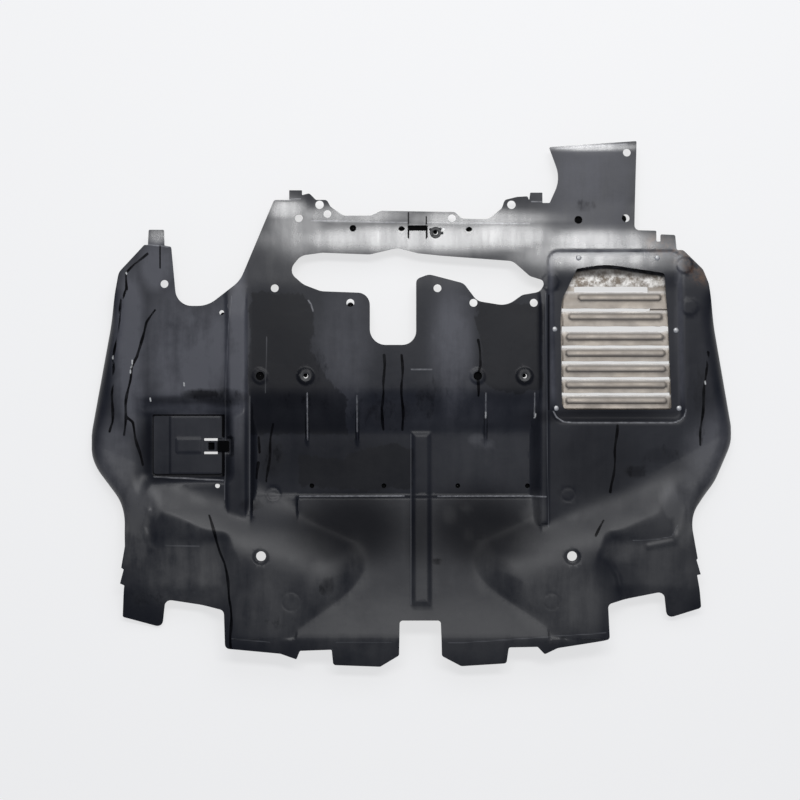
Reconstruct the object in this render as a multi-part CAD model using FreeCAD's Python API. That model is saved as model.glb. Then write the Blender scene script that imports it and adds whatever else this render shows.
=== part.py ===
"""Engine undertray: a moulded guard that closes the engine bay from below.

The tray lies as it comes to rest, with its road face up and its side skirts on the ground.
X runs across the car to the right, Y to the rear and Z away from the engine. Millimetres.
"""
import FreeCAD
import Part
import math
import os

from FreeCAD import Vector

# Main sizes of the plan. Places in the plan are drawn for the drawn sizes and follow the main sizes
TRAY_WIDTH = 1056.0
TRAY_LENGTH = 864.0
DRAWN_WIDTH = 1056.0
DRAWN_LENGTH = 864.0
ACROSS = TRAY_WIDTH / DRAWN_WIDTH
ALONG = TRAY_LENGTH / DRAWN_LENGTH


def placed(points):
    """Points of the drawn plan, each an x, a y and sometimes a corner radius, at the main sizes."""
    return [(point[0] * ACROSS, point[1] * ALONG) + point[2:] for point in points]


# Sheet and main levels, heights are of the road face above the ground
WALL = 3.0
DECK_Z = 42.0
FLOOR_DROP = 20.0
CHEEK_RISE = 24.0
WING_RISE = 8.0
LEDGE_RISE = 5.0
REAR_DROP = 9.0

# Folds that cross the whole tray
STEP_REAR_Y = 15.0 * ALONG
STEP_FRONT_Y = -43.0 * ALONG
LEDGE_Y = -153.0 * ALONG
FRONT_FOLD_Y = -384.0 * ALONG
FRONT_LIP_FALL = 0.5
REAR_SLOPE_Y = 198.0 * ALONG
REAR_FOLD_Y = 295.0 * ALONG
WING_FOLD_Y = -300.0 * ALONG
WING_TAB_FALL = 0.6

# Rolled side skirts
ROLL_RADIUS = 25.0
SKIRT_FRONT_Y = -212.0 * ALONG
SKIRT_REAR_Y = 190.0 * ALONG

# Outline corners as x, y and corner radius, clockwise seen from the road side
WING_REAR = placed([(225, 423, 0), (369, 433, 0)])
REAR_EDGE = placed([
    (-440, 262, 0), (-396, 258, 0), (-387, 161, 36), (-336, 161, 48), (-283, 202, 49),
    (-228, 336, 0), (-175, 336, 0), (-169, 322, 0), (-135, 325, 0), (-114, 310, 0),
    (-68, 310, 0), (-52, 318, 0), (70, 316, 0), (81, 305, 0), (125, 304, 0),
    (147, 322, 0), (187, 322, 0), (191, 332, 0), (219, 332, 0), (226, 331, 0),
    (244, 371, 74),
]) + WING_REAR + placed([
    (365, 286, 8), (401, 285, 0), (401, 267, 0), (408, 267, 0), (408, 279, 0),
    (432, 278, 0), (434, 253, 0), (445, 253, 0), (477, 221, 0),
])
RIGHT_SIDE = placed([(486, 198, 0), (529, -49, 52), (449, -192, 66), (467, -253, 0)])
FRONT_EDGE = placed([
    (472, -279, 0), (466, -280, 0), (476, -336, 0), (421, -355, 10), (412, -307, 11),
    (319, -327, 8), (322, -384, 8), (237, -398, 0), (216, -409, 0), (204, -396, 0),
    (157, -397, 0), (154, -425, 0), (80, -430, 7), (48, -412, 0), (46, -353, 0),
    (-21, -353, 0), (-22, -411, 0), (-53, -431, 7), (-130, -428, 0), (-132, -401, 0),
    (-184, -403, 0), (-190, -418, 0), (-216, -408, 0), (-306, -399, 8), (-308, -337, 8),
    (-406, -321, 11), (-415, -371, 10), (-479, -352, 0), (-472, -297, 0), (-479, -294, 0),
    (-473, -271, 0),
])
LEFT_SIDE = placed([(-467, -233, 0), (-462, -184, 57), (-535, -93, 82), (-482, 216, 0)])

# Oil sump opening in the centre, corners as above
SUMP_OPENING = placed([
    (-204, 218, 0), (-184, 244, 16), (-148, 249, 0), (-70, 246, 0), (-25, 257, 0),
    (9, 248, 0), (165, 235, 16), (193, 210, 0), (219, 202, 0), (209, 184, 0),
    (180, 179, 0), (155, 161, 22), (106, 169, 16), (84, 198, 0), (27, 213, 12),
    (6, 205, 0), (6, 97, 23), (-70, 97, 26), (-70, 182, 12), (-150, 185, 16),
    (-179, 196, 0),
])

# Centre floor and ramp
FLOOR_LEFT_X = -262.0 * ACROSS
FLOOR_RIGHT_X = 207.0 * ACROSS
FLOOR_SIDE_RUN = 0.2
CENTRE_RIB_LEFT_X = -2.0 * ACROSS
CENTRE_RIB_RIGHT_X = 31.0 * ACROSS
CENTRE_RIB_REAR_Y = -46.0 * ALONG
CENTRE_RIB_FRONT_Y = -330.0 * ALONG
CENTRE_RIB_RISE = 5.0
GUSSET_X = [-173.0 * ACROSS, -91.0 * ACROSS, 120.0 * ACROSS, 200.0 * ACROSS]
GUSSET_WIDTH = 3.0
GUSSET_REAR_Y = 20.0 * ALONG
GUSSET_FRONT_Y = -70.0 * ALONG

# Front cheeks, corners of the flat top, and the slope of the band behind each crest
LEFT_CHEEK = placed([(-412, -183), (-111, -279), (-215, -384), (-215, -520), (-412, -520)])
RIGHT_CHEEK = placed([(139, -276), (402, -186), (402, -520), (258, -520), (258, -384)])
BAND_RUN = 1.8
CHEEK_INNER_RUN = 0.5
CHEEK_OUTER_RUN = 1.0
WING_FACET_RUN = 3.0
WING_INNER_RUN = 0.6
LEFT_WING_INNER_X = -318.0 * ACROSS
RIGHT_WING_INNER_X = 332.0 * ACROSS
WING_FLOOR_REAR_Y = -233.0 * ALONG

# Stiffening beads on the decks
LEFT_BEAD = placed([(-303, 190), (-275, 190), (-274, -150), (-286, -176), (-303, -150)])
RIGHT_BEAD = placed([(211, 187), (221, 187), (221, -195), (211, -195)])
LEFT_BEAD_RISE = 5.0
RIGHT_BEAD_RISE = 4.0
BEAD_RUN = 0.6

# Louvred heat shield and the recess that it is riveted in
VENT_RECESS_DEPTH = 5.0
VENT_REAR_X = (222.0 * ACROSS, 442.0 * ACROSS)
VENT_FRONT_X = (228.0 * ACROSS, 448.0 * ACROSS)
VENT_FRONT_Y = -31.0 * ALONG
VENT_RECESS_RUN = 0.6
VENT_CORNER_RADIUS = 18.0
VENT_WINDOW = placed([
    (270, 222, 0), (316, 230, 0), (370, 227, 0), (414, 215, 0), (420, 139, 0), (426, -9, 0),
    (246, -9, 10), (243, 140, 0), (246, 172, 0),
])
SHIELD_THICKNESS = 1.2
SHIELD_EDGE_GAP = 4.0
SHIELD_CORNER_RADIUS = 12.0
SHIELD_DISH_X = (243.0 * ACROSS, 427.0 * ACROSS)
SHIELD_DISH_REAR_Y = 229.0 * ALONG
SHIELD_DISH_FLAT_Y = 125.0 * ALONG
SHIELD_DISH_FRONT_Y = -12.0 * ALONG
SHIELD_DISH_REAR_DEPTH = 14.0
SHIELD_DISH_DEPTH = 4.0
SLAT_X = (246.0 * ACROSS, 421.0 * ACROSS)
SLAT_RISE = 3.5
SLOT_REAR_Y = [y * ALONG for y in (193.5, 157.4, 128.0, 96.3, 70.4, 44.3, 18.4)]
SLOT_HEIGHT = [9.5, 5.0, 9.0, 4.2, 4.2, 4.2, 4.2]
SLAT_BEAD_X = (260.0 * ACROSS, 412.0 * ACROSS)
SLAT_BEAD_HEIGHT = 11.0
SLAT_BEAD_END = 4.0
SLAT_BEAD_SETBACK = 3.0
SLAT_BEAD_RISE = 1.4
LAST_SLAT_FRONT_Y = -6.0 * ALONG

# Blind rivets
REAR_RIVET_X = [273.0 * ACROSS, 402.0 * ACROSS]
REAR_RIVET_INSET = 12.0
FRONT_RIVETS = placed([(233.5, 123), (433, 121), (236, -7), (438, -7)])
RIVET_SHANK_RADIUS = 2.0
RIVET_HEAD_RADIUS = 4.2
RIVET_HEAD_HEIGHT = 1.8
RIVET_TAIL_RADIUS = 3.0
RIVET_TAIL_LENGTH = 3.5
RIVET_CLEARANCE = 0.1
FASTENER_SIDES = 8

# Service door, its hinge strip and the recess that they lie in
DOOR_RECESS_FLOOR = placed([(-430, -15), (-309, -15), (-309, -120), (-430, -120)])
DOOR_RECESS_DEPTH = 14.0
DOOR_RECESS_RUNS = [1.2, 0.4, 0.4, 1.2]
DOOR_RECESS_RADIUS = 8.0
DOOR_THICKNESS = 2.5
DOOR_SEAT_GAP = 0.3
DOOR_LEFT_X = -426.0 * ACROSS
DOOR_RIGHT_X = -314.0 * ACROSS
DOOR_REAR_Y = -20.0 * ALONG
DOOR_FRONT_Y = -115.0 * ALONG
DOOR_CORNER_RADIUS = 4.0
HINGE_X = -400.0 * ACROSS
HINGE_BEAD_RADIUS = 0.8
HINGE_CLEARANCE = 0.3
SERVICE_HOLE_LEFT_X = -392.0 * ACROSS
SERVICE_HOLE_RIGHT_X = -321.0 * ACROSS
SERVICE_HOLE_MARGIN = 6.0
SERVICE_HOLE_RADIUS = 6.0
TONGUE_Y = -69.5 * ALONG
TONGUE_WIDTH = 18.0
TONGUE_SLIT = 4.0
TONGUE_ROOT_X = -343.0 * ACROSS
TONGUE_TIP_X = -302.0 * ACROSS
TONGUE_NOTCH_GAP = 2.5
TONGUE_NOTCH_MARGIN = 4.0
GRIP_X = (-337.0 * ACROSS, -325.0 * ACROSS)
GRIP_WIDTH = 14.0
GRIP_DEPTH = 8.0
GRIP_WALL = 1.5
DOOR_PANEL_X = (-389.0 * ACROSS, -348.0 * ACROSS)
DOOR_PANEL_Y = (-80.0 * ALONG, -57.0 * ALONG)
DOOR_PANEL_RISE = 1.0
PEG_RADIUS = 3.0
PEG_HEAD_RADIUS = 4.5
PEG_HEAD_HEIGHT = 1.5
PEG_CLEARANCE = 0.15
PEGS = placed([(-414, -38), (-414, -97)])

# Round holes: places and radii
FRONT_BOLTS = placed([(-247, -248), (260, -248)])
FRONT_BOLT_RADIUS = 8.0
FRONT_CUP_RADIUS = 14.0
FRONT_CUP_DEPTH = 5.0
BODY_BOLTS = placed([(-407, 197), (-226, 190), (41, 190), (-102, 166), (100, 166), (199, 166)])
RAIL_BOLTS = placed([(-187, 306), (351, 306), (65, 306), (353, 414), (-140, 313), (273, 303)])
BODY_BOLT_RADIUS = 6.5
RAIL_LOCATORS = placed([(-98, 289), (-18, 287), (93, 286)])
LOCATOR_RADIUS = 5.5
CLIP_HOLES = placed([(-250, 46), (107, 46)])
SLEEVE_HOLES = placed([(-175, 46), (184, 46)])
CLIP_HOLE_RADIUS = 7.0
COLLAR_WIDTH = 4.5
COLLAR_RISE = 3.0
DRAIN_HOLES = placed([(-320, -134), (-166, -135), (-47, -135), (75, -135), (190, -135), (-313, 150)])
DRAIN_RADIUS = 4.0

# Push-clip sleeves left in their holes
RAIL_SLEEVE_HOLE = placed([(38, 282)])[0]
SLEEVE_FLANGE_RADIUS = 9.5
SLEEVE_FLANGE_HEIGHT = 1.6
SLEEVE_CLEARANCE = 0.15
SLEEVE_BORE_RADIUS = 4.0
SLEEVE_LENGTH = 9.0
SLEEVE_SLIT = 2.2
SLEEVE_SIDES = 12

# Rear rail details
RING_LUGS = placed([(-153, 328), (163, 328)])
RING_OUTER_RADIUS = 12.0
RING_INNER_RADIUS = 7.0
SNAP_TONGUE_X = (-6.0 * ACROSS, 23.0 * ACROSS)
SNAP_SLOT_REAR_Y = 294.0 * ALONG
SNAP_SLOT_FRONT_Y = 285.0 * ALONG
SNAP_FRONT_Y = 269.0 * ALONG
SNAP_SLIT = 2.0
RAIL_TABS = placed([(-192.5, 340), (204, 337)])
DECK_TAB = placed([(-424, 271)])[0]
TAB_WIDTH = 20.5
TAB_LENGTH = 28.0
LEFT_HOOK = placed([(-180, 330, 0), (-181, 344, 0), (-170, 347, 0), (-159, 336, 0), (-163, 332, 0),
                    (-171, 340, 0), (-172, 330, 0)])
RIGHT_HOOK = placed([(172, 330, 0), (176, 343, 0), (190, 341, 0), (191, 326, 0), (186, 326, 0),
                     (185, 336, 0), (179, 337, 0), (177, 328, 0)])
WING_LIP_WIDTH = 5.0
WING_LIP_RISE = 3.0

# Block that the mould form is cut from, larger than the tray on every side
BLOCK_HALF_X = 0.57 * TRAY_WIDTH
BLOCK_HALF_Y = 0.6 * TRAY_LENGTH
BLOCK_DEPTH = DECK_Z + 6 * WALL

FLOOR_Z = DECK_Z - FLOOR_DROP
CHEEK_Z = DECK_Z + CHEEK_RISE
WING_Z = DECK_Z + WING_RISE
RAIL_Z = DECK_Z - REAR_DROP
VENT_Z = DECK_Z - VENT_RECESS_DEPTH
DOOR_FLOOR_Z = DECK_Z - DOOR_RECESS_DEPTH
DOOR_LOW_Z = DOOR_FLOOR_Z + DOOR_SEAT_GAP
DOOR_TOP_Z = DOOR_LOW_Z + DOOR_THICKNESS
REAR_FALL = REAR_DROP / (REAR_FOLD_Y - REAR_SLOPE_Y)
VENT_REAR_Y = REAR_SLOPE_Y + VENT_RECESS_DEPTH / REAR_FALL
VENT_RECESS = [(VENT_REAR_X[0], VENT_REAR_Y), (VENT_REAR_X[1], VENT_REAR_Y),
               (VENT_FRONT_X[1], VENT_FRONT_Y), (VENT_FRONT_X[0], VENT_FRONT_Y)]
RIVETS = [(x, VENT_REAR_Y - REAR_RIVET_INSET) for x in REAR_RIVET_X] + FRONT_RIVETS
SHIELD_TOP_Z = VENT_Z - WALL
ABOVE_Z = CHEEK_Z + BLOCK_DEPTH


def side_lines(points, distances):
    """Line of each side of a closed polygon, moved outwards by its own distance."""
    area = 0.0
    for (x0, y0), (x1, y1) in zip(points, points[1:] + points[:1]):
        area += x0 * y1 - x1 * y0
    turn = math.copysign(1.0, area)
    lines = []
    for (x0, y0), (x1, y1), distance in zip(points, points[1:] + points[:1], distances):
        length = math.hypot(x1 - x0, y1 - y0)
        nx = turn * (y1 - y0) / length
        ny = -turn * (x1 - x0) / length
        lines.append((nx, ny, nx * x0 + ny * y0 + distance))
    return lines


def crossing(first, second):
    """Point where two lines, each given by its normal and its distance, cross."""
    a, b, c = first
    d, e, f = second
    det = a * e - b * d
    return ((c * e - b * f) / det, (a * f - c * d) / det)


def moved_sides(points, distances):
    """Corners of a closed polygon after each side has moved outwards by its own distance."""
    lines = side_lines(points, distances)
    return [crossing(lines[i - 1], lines[i]) for i in range(len(lines))]


def planar_face(corners):
    """Flat face with these corners."""
    return Part.Face(Part.makePolygon(corners + corners[:1]))


def frustum(low, low_z, high, high_z):
    """Solid between two polygons with the same number of corners, one above the other."""
    bottom = [Vector(x, y, low_z) for x, y in low]
    top = [Vector(x, y, high_z) for x, y in high]
    faces = [planar_face(bottom), planar_face(top)]
    count = len(bottom)
    for i in range(count):
        k = (i + 1) % count
        faces.append(planar_face([bottom[i], bottom[k], top[k], top[i]]))
    solid = Part.makeSolid(Part.makeShell(faces))
    if solid.Volume < 0:
        solid.reverse()
    return solid


def drafted(points, runs, reference_z, low_z, high_z, grow=0.0):
    """Solid with sloping flat sides. Its plan is given at one height, and each side has its own run,
    the distance that it moves outwards for each millimetre upwards. Every side moves out by grow
    along its own normal, so that a form and its inner skin stay one wall apart."""
    def plan(z):
        shifts = [run * (z - reference_z) + grow * math.hypot(1.0, run) for run in runs]
        return moved_sides(points, shifts)
    return frustum(plan(low_z), low_z, plan(high_z), high_z)


def rounded(solid, radius):
    """The same solid with its upright and sloping edges rounded."""
    upright = [e for e in solid.Edges if abs(e.Vertexes[0].Z - e.Vertexes[-1].Z) > WALL / 10]
    return solid.makeFillet(radius, upright)


def across(profile, left_x, right_x):
    """Solid with a profile of y and z corners, carried along X."""
    face = planar_face([Vector(left_x, y, z) for y, z in profile])
    return face.extrude(Vector(right_x - left_x, 0, 0))


def block(low, high):
    """Box between two corners."""
    size = [b - a for a, b in zip(low, high)]
    return Part.makeBox(size[0], size[1], size[2], Vector(*low))


def corner_stops(before, corner, after, z):
    """Start, crown and end of the tangent arc at a rounded corner. A sharp corner is all three."""
    point = Vector(corner[0], corner[1], z)
    if corner[2] == 0:
        return [point, point, point]
    back = Vector(before[0], before[1], z) - point
    ahead = Vector(after[0], after[1], z) - point
    half = back.getAngle(ahead) / 2
    reach = min(corner[2] / math.tan(half), 0.49 * back.Length, 0.49 * ahead.Length)
    back.normalize()
    ahead.normalize()
    middle = back + ahead
    middle.normalize()
    bow = reach / math.cos(half) - reach * math.tan(half)
    return [point + back * reach, point + middle * bow, point + ahead * reach]


def round_path(corners, z):
    """Closed wire of straight runs and tangent arcs through corners given as x, y and radius."""
    stops = []
    for i, corner in enumerate(corners):
        stops.append(corner_stops(corners[i - 1], corner, corners[(i + 1) % len(corners)], z))
    edges = []
    for i, (start, crown, end) in enumerate(stops):
        if start != end:
            edges.append(Part.Arc(start, crown, end).toShape())
        edges.append(Part.LineSegment(end, stops[(i + 1) % len(stops)][0]).toShape())
    return Part.Wire(edges)


def plate(corners, low_z, high_z):
    """Upright solid over a rounded outline."""
    face = Part.Face(round_path(corners, low_z))
    return face.extrude(Vector(0, 0, high_z - low_z))


def rod(place, radius, low_z, high_z):
    """Upright round bar."""
    return Part.makeCylinder(radius, high_z - low_z, Vector(place[0], place[1], low_z))


def prism(place, radius, sides, low_z, high_z):
    """Upright bar with flat sides, whose corners lie on a circle of this radius."""
    x, y = place
    turns = [2 * math.pi * i / sides for i in range(sides)]
    corners = [Vector(x + radius * math.cos(t), y + radius * math.sin(t), low_z) for t in turns]
    return planar_face(corners).extrude(Vector(0, 0, high_z - low_z))


def fastener(place, radius, low_z, high_z):
    """Upright bar of a small fastener, which has few sides because there are many of them."""
    return prism(place, radius, FASTENER_SIDES, low_z, high_z)


def point_at_y(first, second, y):
    """Point on the line through two outline corners at a given y."""
    share = (y - first[1]) / (second[1] - first[1])
    return (first[0] + share * (second[0] - first[0]), y)


def skirt_path(corners):
    """Part of a side of the outline that has the rolled skirt, as straight runs from one end to the other.
    A rounded corner is drawn as two chords, so that the roll is a row of plain quarter rounds."""
    ends = sorted((SKIRT_FRONT_Y, SKIRT_REAR_Y), key=lambda y: abs(y - corners[0][1]))
    first = point_at_y(corners[0], corners[1], ends[0])
    last = point_at_y(corners[-2], corners[-1], ends[1])
    path = [first]
    run = [first] + corners[1:-1] + [last]
    for before, corner, after in zip(run, run[1:], run[2:]):
        path += [(stop.x, stop.y) for stop in corner_stops(before, corner, after, 0.0)]
    return path + [last]


def inset_path(path, inset):
    """The same path moved to the inside of the outline. Outlines run clockwise, so the inside is on the
    right hand."""
    lines = []
    for (x0, y0), (x1, y1) in zip(path, path[1:]):
        length = math.hypot(x1 - x0, y1 - y0)
        nx = (y1 - y0) / length
        ny = -(x1 - x0) / length
        lines.append((nx, ny, nx * x0 + ny * y0 + inset))
    inner = [(path[0][0] + lines[0][0] * inset, path[0][1] + lines[0][1] * inset)]
    inner += [crossing(first, second) for first, second in zip(lines, lines[1:])]
    inner.append((path[-1][0] + lines[-1][0] * inset, path[-1][1] + lines[-1][1] * inset))
    return inner


def rolled_side(corners):
    """Side of the sheet's outline, drawn in to where the roll of the skirt starts."""
    path = skirt_path(corners)
    drawn_in = [path[0]] + inset_path(path, ROLL_RADIUS) + [path[-1]]
    return [corners[0]] + [(x, y, 0) for x, y in drawn_in] + [corners[-1]]


def skirt(corners):
    """Rolled side skirt: a quarter round and a short wall, carried along a side of the outline."""
    path = skirt_path(corners)
    start = Vector(path[0][0], path[0][1], 0)
    along = Vector(path[1][0], path[1][1], 0) - start
    along.normalize()
    inward = Vector(along.y, -along.x, 0)

    def at(depth, z):
        return start + inward * depth + Vector(0, 0, z)

    def quarter(radius):
        centre = at(ROLL_RADIUS, DECK_Z - ROLL_RADIUS)
        crown = centre + (Vector(0, 0, 1) - inward) * (radius * math.sqrt(0.5))
        return Part.Arc(centre + Vector(0, 0, radius), crown, centre - inward * radius).toShape()

    roll_foot = DECK_Z - ROLL_RADIUS
    section = Part.Wire(Part.sortEdges([
        quarter(ROLL_RADIUS),
        Part.LineSegment(at(0, roll_foot), at(0, 0)).toShape(),
        Part.LineSegment(at(0, 0), at(WALL, 0)).toShape(),
        Part.LineSegment(at(WALL, 0), at(WALL, roll_foot)).toShape(),
        quarter(ROLL_RADIUS - WALL),
        Part.LineSegment(at(ROLL_RADIUS, DECK_Z - WALL), at(ROLL_RADIUS, DECK_Z)).toShape(),
    ])[0])
    guide = Part.makePolygon([Vector(x, y, 0) for x, y in path])
    return guide.makePipeShell([section], True, False, 1)


def ramp_z(y):
    """Height of the centre ramp at a distance y."""
    rise = (CHEEK_Z - FLOOR_Z - LEDGE_RISE) / (LEDGE_Y - FRONT_FOLD_Y)
    return FLOOR_Z + LEDGE_RISE + rise * (LEDGE_Y - y)


def centre_floor(grow):
    """Hollow of the centre floor, with the long step behind it and drafted sides."""
    step_run = (STEP_REAR_Y - STEP_FRONT_Y) / FLOOR_DROP
    plan = [(FLOOR_LEFT_X, STEP_FRONT_Y), (FLOOR_RIGHT_X, STEP_FRONT_Y),
            (FLOOR_RIGHT_X, -2 * BLOCK_HALF_Y), (FLOOR_LEFT_X, -2 * BLOCK_HALF_Y)]
    runs = [step_run, FLOOR_SIDE_RUN, 0.0, FLOOR_SIDE_RUN]
    return drafted(plan, runs, FLOOR_Z, FLOOR_Z - grow, ABOVE_Z, grow)


def front_ramp(skin):
    """Ramp that rises from the ledge on the centre floor to the front fold."""
    low = -BLOCK_DEPTH
    profile = [(LEDGE_Y, low), (LEDGE_Y, FLOOR_Z + LEDGE_RISE), (FRONT_FOLD_Y, CHEEK_Z),
               (-2 * BLOCK_HALF_Y, CHEEK_Z), (-2 * BLOCK_HALF_Y, low)]
    profile = moved_sides(profile, [-skin, -skin, -skin, 0.0, 0.0])
    left_x = min(FLOOR_LEFT_X, LEFT_CHEEK[2][0]) - WALL
    right_x = max(FLOOR_RIGHT_X, RIGHT_CHEEK[4][0]) + WALL
    return across(profile, left_x, right_x)


def centre_rib(skin):
    """Flat bead that runs down the centre floor, over the ledge and up the ramp."""
    low = -BLOCK_DEPTH
    lead = 2 * CENTRE_RIB_RISE
    profile = [
        (CENTRE_RIB_REAR_Y, low),
        (CENTRE_RIB_REAR_Y, FLOOR_Z),
        (CENTRE_RIB_REAR_Y - CENTRE_RIB_RISE, FLOOR_Z + CENTRE_RIB_RISE),
        (LEDGE_Y + lead, FLOOR_Z + CENTRE_RIB_RISE),
        (LEDGE_Y - lead, ramp_z(LEDGE_Y - lead) + CENTRE_RIB_RISE),
        (CENTRE_RIB_FRONT_Y + CENTRE_RIB_RISE, ramp_z(CENTRE_RIB_FRONT_Y) + CENTRE_RIB_RISE),
        (CENTRE_RIB_FRONT_Y, ramp_z(CENTRE_RIB_FRONT_Y)),
        (CENTRE_RIB_FRONT_Y, low),
    ]
    profile = moved_sides(profile, [-skin] * 7 + [0.0])
    return across(profile, CENTRE_RIB_LEFT_X + skin, CENTRE_RIB_RIGHT_X - skin)


def cheek(plan, runs, skin):
    """Raised front cheek: a flat top behind a long sloping band."""
    return drafted(plan, runs, CHEEK_Z, -BLOCK_DEPTH, CHEEK_Z - skin, -skin)


def wing_hollow(inner_x, outward, grow):
    """Space over a lowered front wing: its floor, the facet behind it and the bent corner tab."""
    far_x = outward * 2 * BLOCK_HALF_X
    plan = [(inner_x, WING_FLOOR_REAR_Y), (far_x, WING_FLOOR_REAR_Y),
            (far_x, -2 * BLOCK_HALF_Y), (inner_x, -2 * BLOCK_HALF_Y)]
    runs = [WING_FACET_RUN, 0.0, 0.0, WING_INNER_RUN]
    floor = drafted(plan, runs, WING_Z, WING_Z - grow, ABOVE_Z, grow)
    fall = WING_TAB_FALL * BLOCK_HALF_Y
    profile = [(WING_FOLD_Y, WING_Z), (WING_FOLD_Y - BLOCK_HALF_Y, WING_Z - fall),
               (WING_FOLD_Y - BLOCK_HALF_Y, ABOVE_Z), (WING_FOLD_Y, ABOVE_Z)]
    profile = moved_sides(profile, [grow, 0.0, 0.0, 0.0])
    tab = across(profile, *sorted((inner_x - outward * grow, far_x)))
    return floor.fuse(tab)


def front_lip_space(grow):
    """Space over the front lip, which falls away from the front fold."""
    rear_y = FRONT_FOLD_Y + BLOCK_HALF_Y / 2
    front_y = FRONT_FOLD_Y - BLOCK_HALF_Y / 2
    profile = [(rear_y, CHEEK_Z + FRONT_LIP_FALL * (rear_y - FRONT_FOLD_Y)),
               (front_y, CHEEK_Z + FRONT_LIP_FALL * (front_y - FRONT_FOLD_Y)),
               (front_y, 2 * ABOVE_Z), (rear_y, 2 * ABOVE_Z)]
    return across(moved_sides(profile, [grow, 0.0, 0.0, 0.0]), -2 * BLOCK_HALF_X, 2 * BLOCK_HALF_X)


def rear_space(grow):
    """Space over the rear slope and the flat rear rail behind it."""
    lead_y = REAR_SLOPE_Y - (REAR_FOLD_Y - REAR_SLOPE_Y)
    far_y = 2 * BLOCK_HALF_Y
    profile = [(lead_y, RAIL_Z + REAR_FALL * (REAR_FOLD_Y - lead_y)), (REAR_FOLD_Y, RAIL_Z),
               (far_y, RAIL_Z), (far_y, ABOVE_Z), (lead_y, ABOVE_Z)]
    profile = moved_sides(profile, [grow, grow, 0.0, 0.0, 0.0])
    recess_mouth_x = (REAR_EDGE[2][0] + REAR_EDGE[3][0]) / 2
    return across(profile, recess_mouth_x, 2 * BLOCK_HALF_X)


def bead(plan, rise, skin):
    """Raised stiffening bead on a deck, with sloping sides."""
    top = DECK_Z + rise
    return drafted(plan, [-BEAD_RUN] * len(plan), top, -BLOCK_DEPTH / 4, top - skin, -skin)


def vent_recess(grow):
    """Shallow recess that the louvred panel is riveted behind."""
    solid = drafted(VENT_RECESS, [VENT_RECESS_RUN] * 4, DECK_Z, VENT_Z - grow, ABOVE_Z, grow)
    return rounded(solid, VENT_CORNER_RADIUS + grow)


def door_recess(grow):
    """Recess of the service door, and the notch in its wall that takes the door's tongue."""
    low = DOOR_FLOOR_Z - grow
    bowl = drafted(DOOR_RECESS_FLOOR, DOOR_RECESS_RUNS, DOOR_FLOOR_Z, low, ABOVE_Z, grow)
    half = TONGUE_WIDTH / 2 + TONGUE_NOTCH_MARGIN + grow
    notch = block((DOOR_RIGHT_X, TONGUE_Y - half, low),
                  (TONGUE_TIP_X + TONGUE_NOTCH_GAP + grow, TONGUE_Y + half, ABOVE_Z))
    return rounded(bowl, DOOR_RECESS_RADIUS + grow).fuse(notch)


def bolt_cup(place, grow):
    """Conical cup that a front bolt's head sits in."""
    low = CHEEK_Z - FRONT_CUP_DEPTH - grow
    foot_radius = FRONT_CUP_RADIUS - FRONT_CUP_DEPTH / 2 + grow
    height = ABOVE_Z - low
    return Part.makeCone(foot_radius, foot_radius + height / 2, height, Vector(place[0], place[1], low))


def mould_form(skin):
    """The tray as a full block under its road face, drawn in by a skin all over. The sheet of the tray is
    what is left of one form when another, one wall deeper, is taken out of it."""
    spread = 1.0 + skin / BLOCK_DEPTH
    form = block((-BLOCK_HALF_X * spread, -BLOCK_HALF_Y * spread, -BLOCK_DEPTH * spread),
                 (BLOCK_HALF_X * spread, BLOCK_HALF_Y * spread, DECK_Z - skin))
    form = form.cut(centre_floor(skin))
    left_runs = [-BAND_RUN, -CHEEK_INNER_RUN, 0.0, 0.0, -CHEEK_OUTER_RUN]
    right_runs = [-BAND_RUN, -CHEEK_OUTER_RUN, 0.0, 0.0, -CHEEK_INNER_RUN]
    form = form.fuse([
        front_ramp(skin),
        cheek(LEFT_CHEEK, left_runs, skin),
        cheek(RIGHT_CHEEK, right_runs, skin),
        bead(LEFT_BEAD, LEFT_BEAD_RISE, skin),
        bead(RIGHT_BEAD, RIGHT_BEAD_RISE, skin),
    ])
    form = form.cut([
        wing_hollow(LEFT_WING_INNER_X, -1.0, skin),
        wing_hollow(RIGHT_WING_INNER_X, 1.0, skin),
        front_lip_space(skin),
        rear_space(skin),
        vent_recess(skin),
        door_recess(skin),
    ] + [bolt_cup(place, skin) for place in FRONT_BOLTS])
    return form.fuse(centre_rib(skin))


def through(place, radius):
    """Cutter for a round hole."""
    return rod(place, radius, -BLOCK_DEPTH, ABOVE_Z)


def fastener_hole(place, radius):
    """Cutter for the hole of a small fastener."""
    return fastener(place, radius, -BLOCK_DEPTH, ABOVE_Z)


def sleeve_hole(place):
    """Cutter for the hole that a clip sleeve sits in."""
    return prism(place, CLIP_HOLE_RADIUS, SLEEVE_SIDES, -BLOCK_DEPTH, ABOVE_Z)


def window(corners):
    """Cutter for a rounded opening."""
    return plate(corners, -BLOCK_DEPTH, ABOVE_Z)


def on_rear_slope(shape, place):
    """A shape made at the origin, stood square on the rear slope at a place."""
    z = DECK_Z - REAR_FALL * (place[1] - REAR_SLOPE_Y)
    tilted = shape.copy()
    tilted.rotate(Vector(0, 0, 0), Vector(1, 0, 0), -math.degrees(math.atan(REAR_FALL)))
    return tilted.translated(Vector(place[0], place[1], z))


def service_hole():
    """Opening in the floor of the door's recess, smaller than the door all round."""
    left = SERVICE_HOLE_LEFT_X
    right = SERVICE_HOLE_RIGHT_X
    front = DOOR_FRONT_Y + SERVICE_HOLE_MARGIN
    rear = DOOR_REAR_Y - SERVICE_HOLE_MARGIN
    r = SERVICE_HOLE_RADIUS
    return window([(left, rear, r), (right, rear, r), (right, front, r), (left, front, r)])


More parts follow.
